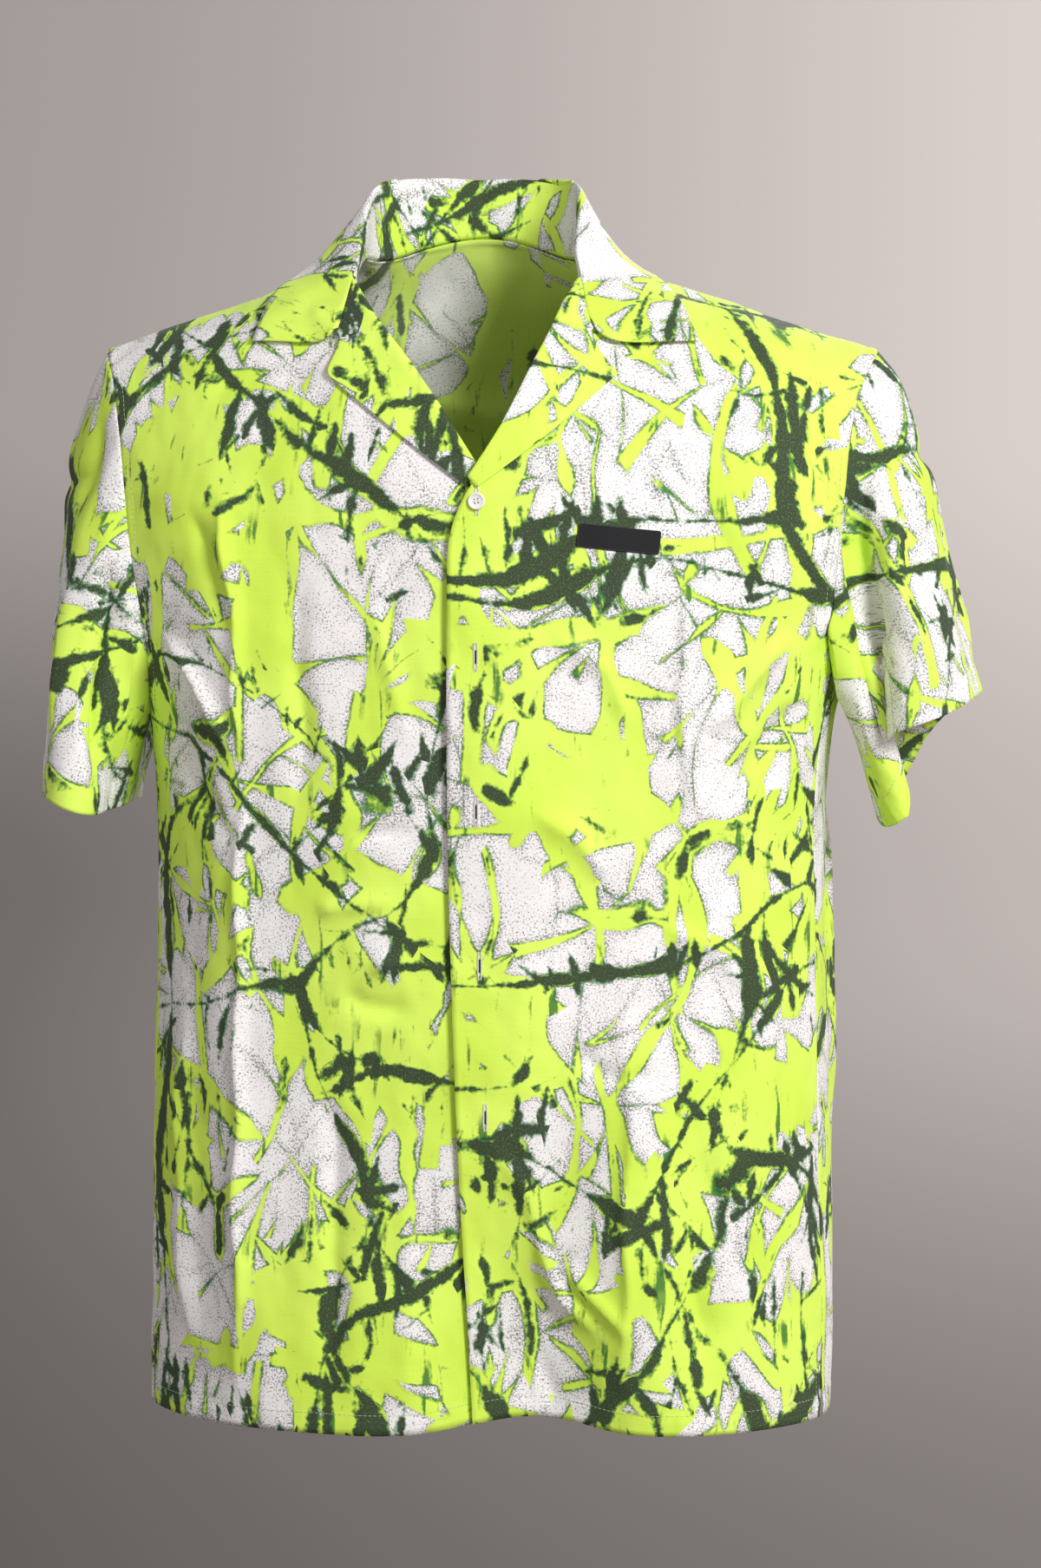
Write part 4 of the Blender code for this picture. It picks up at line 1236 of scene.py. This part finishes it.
button = {
    "radius": 0.0056,
    "half": 0.0012,
    "holeAt": 0.00115,
    "hole": 0.00058,
    "colour": (0.86, 0.855, 0.83, 1),
    "cloud": (0.80, 0.80, 0.77, 1),
    # out from the middle and up, as shares of the radius and of half the thickness
    "profile": [(0, -1), (0.80, -1), (0.95, -0.7), (1, -0.15), (0.985, 0.45), (0.93, 0.85), (0.85, 1),
                (0.76, 0.92), (0.66, 0.55), (0.55, 0.40), (0, 0.34)],
}

buttonWhite, buttonTree, buttonShader = newMaterial("button_white")
buttonPlace = addNode(buttonTree, "ShaderNodeTexCoord").outputs["Object"]
buttonCloud = noiseAt(buttonTree, buttonPlace, 210.0, 2.0)
buttonShade = mixed(buttonTree, buttonCloud, button["cloud"], button["colour"])
plug(buttonTree, buttonShader, {"Base Color": buttonShade, "Roughness": 0.24, "Coat Weight": 0.4})


def turnedButton(name):
    half, at = button["half"], button["holeAt"]
    piece = spun(name, [(out * button["radius"], up * half) for out, up in button["profile"]], 40, 0.00001)
    drill = {"vertices": 16, "radius": button["hole"], "depth": 4 * half}
    for x, y in ((-at, -at), (-at, at), (at, -at), (at, at)):
        bpy.ops.mesh.primitive_cylinder_add(location=(x, y, 0), **drill)
        cutter = bpy.context.active_object
        finishWith(piece, "BOOLEAN", object=cutter, operation="DIFFERENCE", solver="EXACT")
        bpy.data.objects.remove(cutter)
    only(piece)
    bpy.ops.object.shade_smooth_by_angle(angle=math.radians(32))
    piece.data.materials.clear()
    piece.data.materials.append(buttonWhite)
    return piece


def buttonThread(name):
    at, rise = button["holeAt"], 0.45 * button["half"]
    stitches = []
    for x in (-at, at):
        for side in (-1, 0, 1):
            first = Vector((x + 0.00026 * side, -at * 1.05, rise))
            last = Vector((x + 0.00022 * side, at * 1.05, rise))
            stitches.append((first, last, Vector((0, 0, 1))))
    for k in range(8):
        turn = math.tau * k / 8
        spot = Vector((0.0009 * math.cos(turn), 0.0009 * math.sin(turn), -button["half"] - 0.0007))
        stitches.append((spot, spot + Vector((0, 0, 0.0010)), Vector((math.cos(turn), math.sin(turn), 0))))
    return threadBars(name, stitches, {"thick": 0.00020, "arch": 0.0003}, whiteThread)


def facing(node):
    # the flat way of a small round solid, towards the front
    points = pointsOf(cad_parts[node])
    points -= points.mean(axis=0)
    normal = Vector(np.linalg.svd(points, full_matrices=False)[2][2])
    return normal if normal.y < 0 else -normal


buttons = []
for number, node in enumerate(buttonNames):
    middle = boxMiddle(node)
    under = chest if number == 0 else chestBelow  # the top button is through its hole
    spot, _ = onChest(middle.x, middle.z, 0.0, under)
    spot += facing(node) * (button["half"] + 0.0005)
    turn = facing(node).to_track_quat("Z", "Y").to_matrix().to_4x4()
    place = Matrix.Translation(spot) @ turn @ Matrix.Rotation(math.radians(9 + 23 * number), 4, "Z")
    print(f"  {node}: {(spot - middle).length * 1000:.1f} mm from its solid")
    made = (turnedButton(f"{node}_turned"), buttonThread(f"{node}_thread"))
    for piece in made:
        piece.data.transform(place)
    buttons.append(made)
print("buttons turned")

# Label: bare charcoal twill with a raised satin border

label = {"width": 0.052, "height": 0.015, "corner": 0.0016, "tilt": -6.0, "thick": 0.0007, "border": 0.0010}


def labelMaterial():
    material, tree, shader = newMaterial("label_twill")
    place = addNode(tree, "ShaderNodeUVMap", uv_map="label").outputs[0]
    sockets = {"Vector": place, "Scale": 450.0, "Distortion": 0.6, "Detail": 1.0}
    twill = addNode(tree, "ShaderNodeTexWave", sockets, bands_direction="DIAGONAL").outputs[1]
    grain = noiseAt(tree, place, 1500.0, 2.0)
    height = maths(tree, "MULTIPLY_ADD", grain, 0.5, twill)
    # darker in the twill's hollows and lighter on its ridges, from the bump's height: painted shade, with
    # random grain
    shade = mixed(tree, ramp(tree, height, 0.3, 1.1), (0.008, 0.008, 0.009, 1), (0.024, 0.024, 0.027, 1))
    bumped(tree, shader, height, 0.5, 0.0002)
    plug(tree, shader, {"Base Color": shade, "Roughness": 0.75, "Specular IOR Level": 0.2})
    return material


labelMiddle = boxMiddle("label_patch")
labelTurn = Matrix.Rotation(math.radians(label["tilt"]), 2)


def onLabel(u, v, lift):
    # a place on the chest below a place on the label
    moved = labelTurn @ Vector((u, v))
    return onChest(labelMiddle.x + moved.x, labelMiddle.z + moved.y, lift)


def labelTape():
    across, up = 40, 12
    wide, tall, corner = label["width"] / 2, label["height"] / 2, label["corner"]
    points, places = [], []
    for k in range(across + 1):
        for row in range(up + 1):
            u, v = wide * (2 * k / across - 1), tall * (2 * row / up - 1)
            over = Vector((max(0, abs(u) - wide + corner), max(0, abs(v) - tall + corner)))
            if over.length > corner:
                over = over.normalized() * corner
                u = math.copysign(wide - corner + over.x, u)
                v = math.copysign(tall - corner + over.y, v)
            points.append(onLabel(u, v, label["thick"] + 0.0002)[0])
            places.append((u, v))
    piece = newPiece("label_tape", points, squares(across + 1, up + 1))
    mapped(piece, "label", places)
    piece.data.materials.append(labelMaterial())
    finishWith(piece, "SOLIDIFY", thickness=label["thick"], offset=-1.0)
    return piece


def labelBorder():
    # a satin bar every step along the outline, from just inside to just past the edge
    wide, tall, corner = label["width"] / 2, label["height"] / 2, label["corner"]
    outline = []
    for cx, cy, start in ((1, 1, 0), (-1, 1, 90), (-1, -1, 180), (1, -1, 270)):
        for step in range(7):
            turn = math.radians(start + 15 * step)
            out = Vector((math.cos(turn), math.sin(turn)))
            outline.append((cx * (wide - corner) + out.x * corner, cy * (tall - corner) + out.y * corner))
    outline.append(outline[0])
    path = evenly(np.array(outline), 0.00042)
    along = unit(np.gradient(path, axis=0))
    stitches = []
    for (u, v), (du, dv) in zip(path[:-1], along[:-1]):
        first, normal = onLabel(u - dv * label["border"], v + du * label["border"], label["thick"] + 0.0003)
        last, _ = onLabel(u + dv * 0.0002, v - du * 0.0002, 0.0004)
        stitches.append((first, last, normal))
    return threadBars("label_border", stitches, {"thick": 0.00024, "arch": 0.00035}, darkThread)


darkThread = threadMaterial("dark_thread", (0.022, 0.022, 0.024, 1), 0.6, 0.04)
labelPieces = (labelTape(), labelBorder())
print("label laid")

# Backdrop, lights

stageLook = {
    "floor": -1.16,
    "flatTo": 4.4,
    "wall": 7.6,
    "top": 5.0,
    # glow colours from the middle of the floor out to high on the wall: painted light falloff
    "near": (0.135, 0.121, 0.116, 1),
    "middle": (0.361, 0.325, 0.310, 1),
    "far": (0.675, 0.607, 0.580, 1),
}


def backdropMaterial():
    # pale grey that glows from within: painted light that falls off, darker on the floor and to one side, in
    # place of the lamps' falloff
    material, tree, shader = newMaterial("backdrop_painted_glow")
    place = addNode(tree, "ShaderNodeTexCoord").outputs["Object"]
    parts = addNode(tree, "ShaderNodeSeparateXYZ", {0: place})
    out = vectorMaths(tree, "MULTIPLY", place, (1.0, 1.0, 0.0))
    out = addNode(tree, "ShaderNodeVectorMath", {0: out}, operation="LENGTH").outputs["Value"]
    low = mixed(tree, ramp(tree, out, 0.3, 5.2), stageLook["near"], stageLook["middle"])
    # the glow is brighter towards +X: painted light, as from the key lamp's side
    side = ramp(tree, parts.outputs["X"], -1.55, 0.78, 0.42, 1.52)
    low = vectorMaths(tree, "SCALE", low, side)
    side = ramp(tree, parts.outputs["X"], -1.9, 1.5, 0.54, 1.18)
    high = vectorMaths(tree, "SCALE", stageLook["far"][:3], side)
    plug(tree, shader, {
        "Emission Color": mixed(tree, ramp(tree, parts.outputs["Z"], -1.10, -0.29), low, high),
        "Emission Strength": 1.0,
        "Base Color": (0, 0, 0, 1),
        "Roughness": 0.95,
        "Specular IOR Level": 0.0,
    })
    return material


def backdrop():
    floor, flatTo, wall = stageLook["floor"], stageLook["flatTo"], stageLook["wall"]
    bend = wall - flatTo
    profile = [(0.0, floor), (flatTo, floor)]
    for step in range(1, 9):
        turn = math.radians(90 * step / 8)
        profile.append((flatTo + bend * math.sin(turn), floor + bend * (1 - math.cos(turn))))
    profile.append((wall, stageLook["top"]))
    piece = spun("backdrop", profile, 96, 0.0001, inside=True)
    piece.data.shade_smooth()
    piece.data.materials.append(backdropMaterial())
    return piece


def softLight(name, spot, target, size, power):
    bpy.ops.object.light_add(type="AREA", location=spot)
    light = bpy.context.active_object
    light.name = name
    light.rotation_euler = (Vector(target) - Vector(spot)).to_track_quat("-Z", "Y").to_euler()
    light.data.shape = "DISK"
    light.data.size = size
    light.data.energy = power
    light.visible_camera = False


backdrop()
softLight("key_light", (2.3, -3.0, 1.7), (0, 0, -0.35), 1.2, 155.0)
softLight("fill_light", (-3.2, -2.6, 0.4), (0, 0, -0.4), 2.6, 26.0)
softLight("back_light", (0.6, 3.4, 1.9), (0, 0, -0.3), 2.4, 95.0)
world = bpy.data.worlds.new("soft_room")
world.use_nodes = True
plug(world.node_tree, world.node_tree.nodes["Background"], {0: (0.93, 0.95, 1.0, 1), 1: 0.18})
bpy.context.scene.world = world
bpy.context.scene.view_settings.view_transform = "Standard"
print("stage set")

# Every piece hung on the root, and the imported parts they replace hidden

for facts in garment:
    piece = cloth[facts["node"]]
    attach(piece, "root")
    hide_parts(facts["node"])
for piece in (*sewing.values(), *buttonholes):
    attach(piece, "root")
for node, (turned, thread) in zip(buttonNames, buttons):
    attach(turned, "root")
    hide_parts(node)
    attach(thread, "root")
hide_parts("label_patch")
for piece in labelPieces:
    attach(piece, "root")
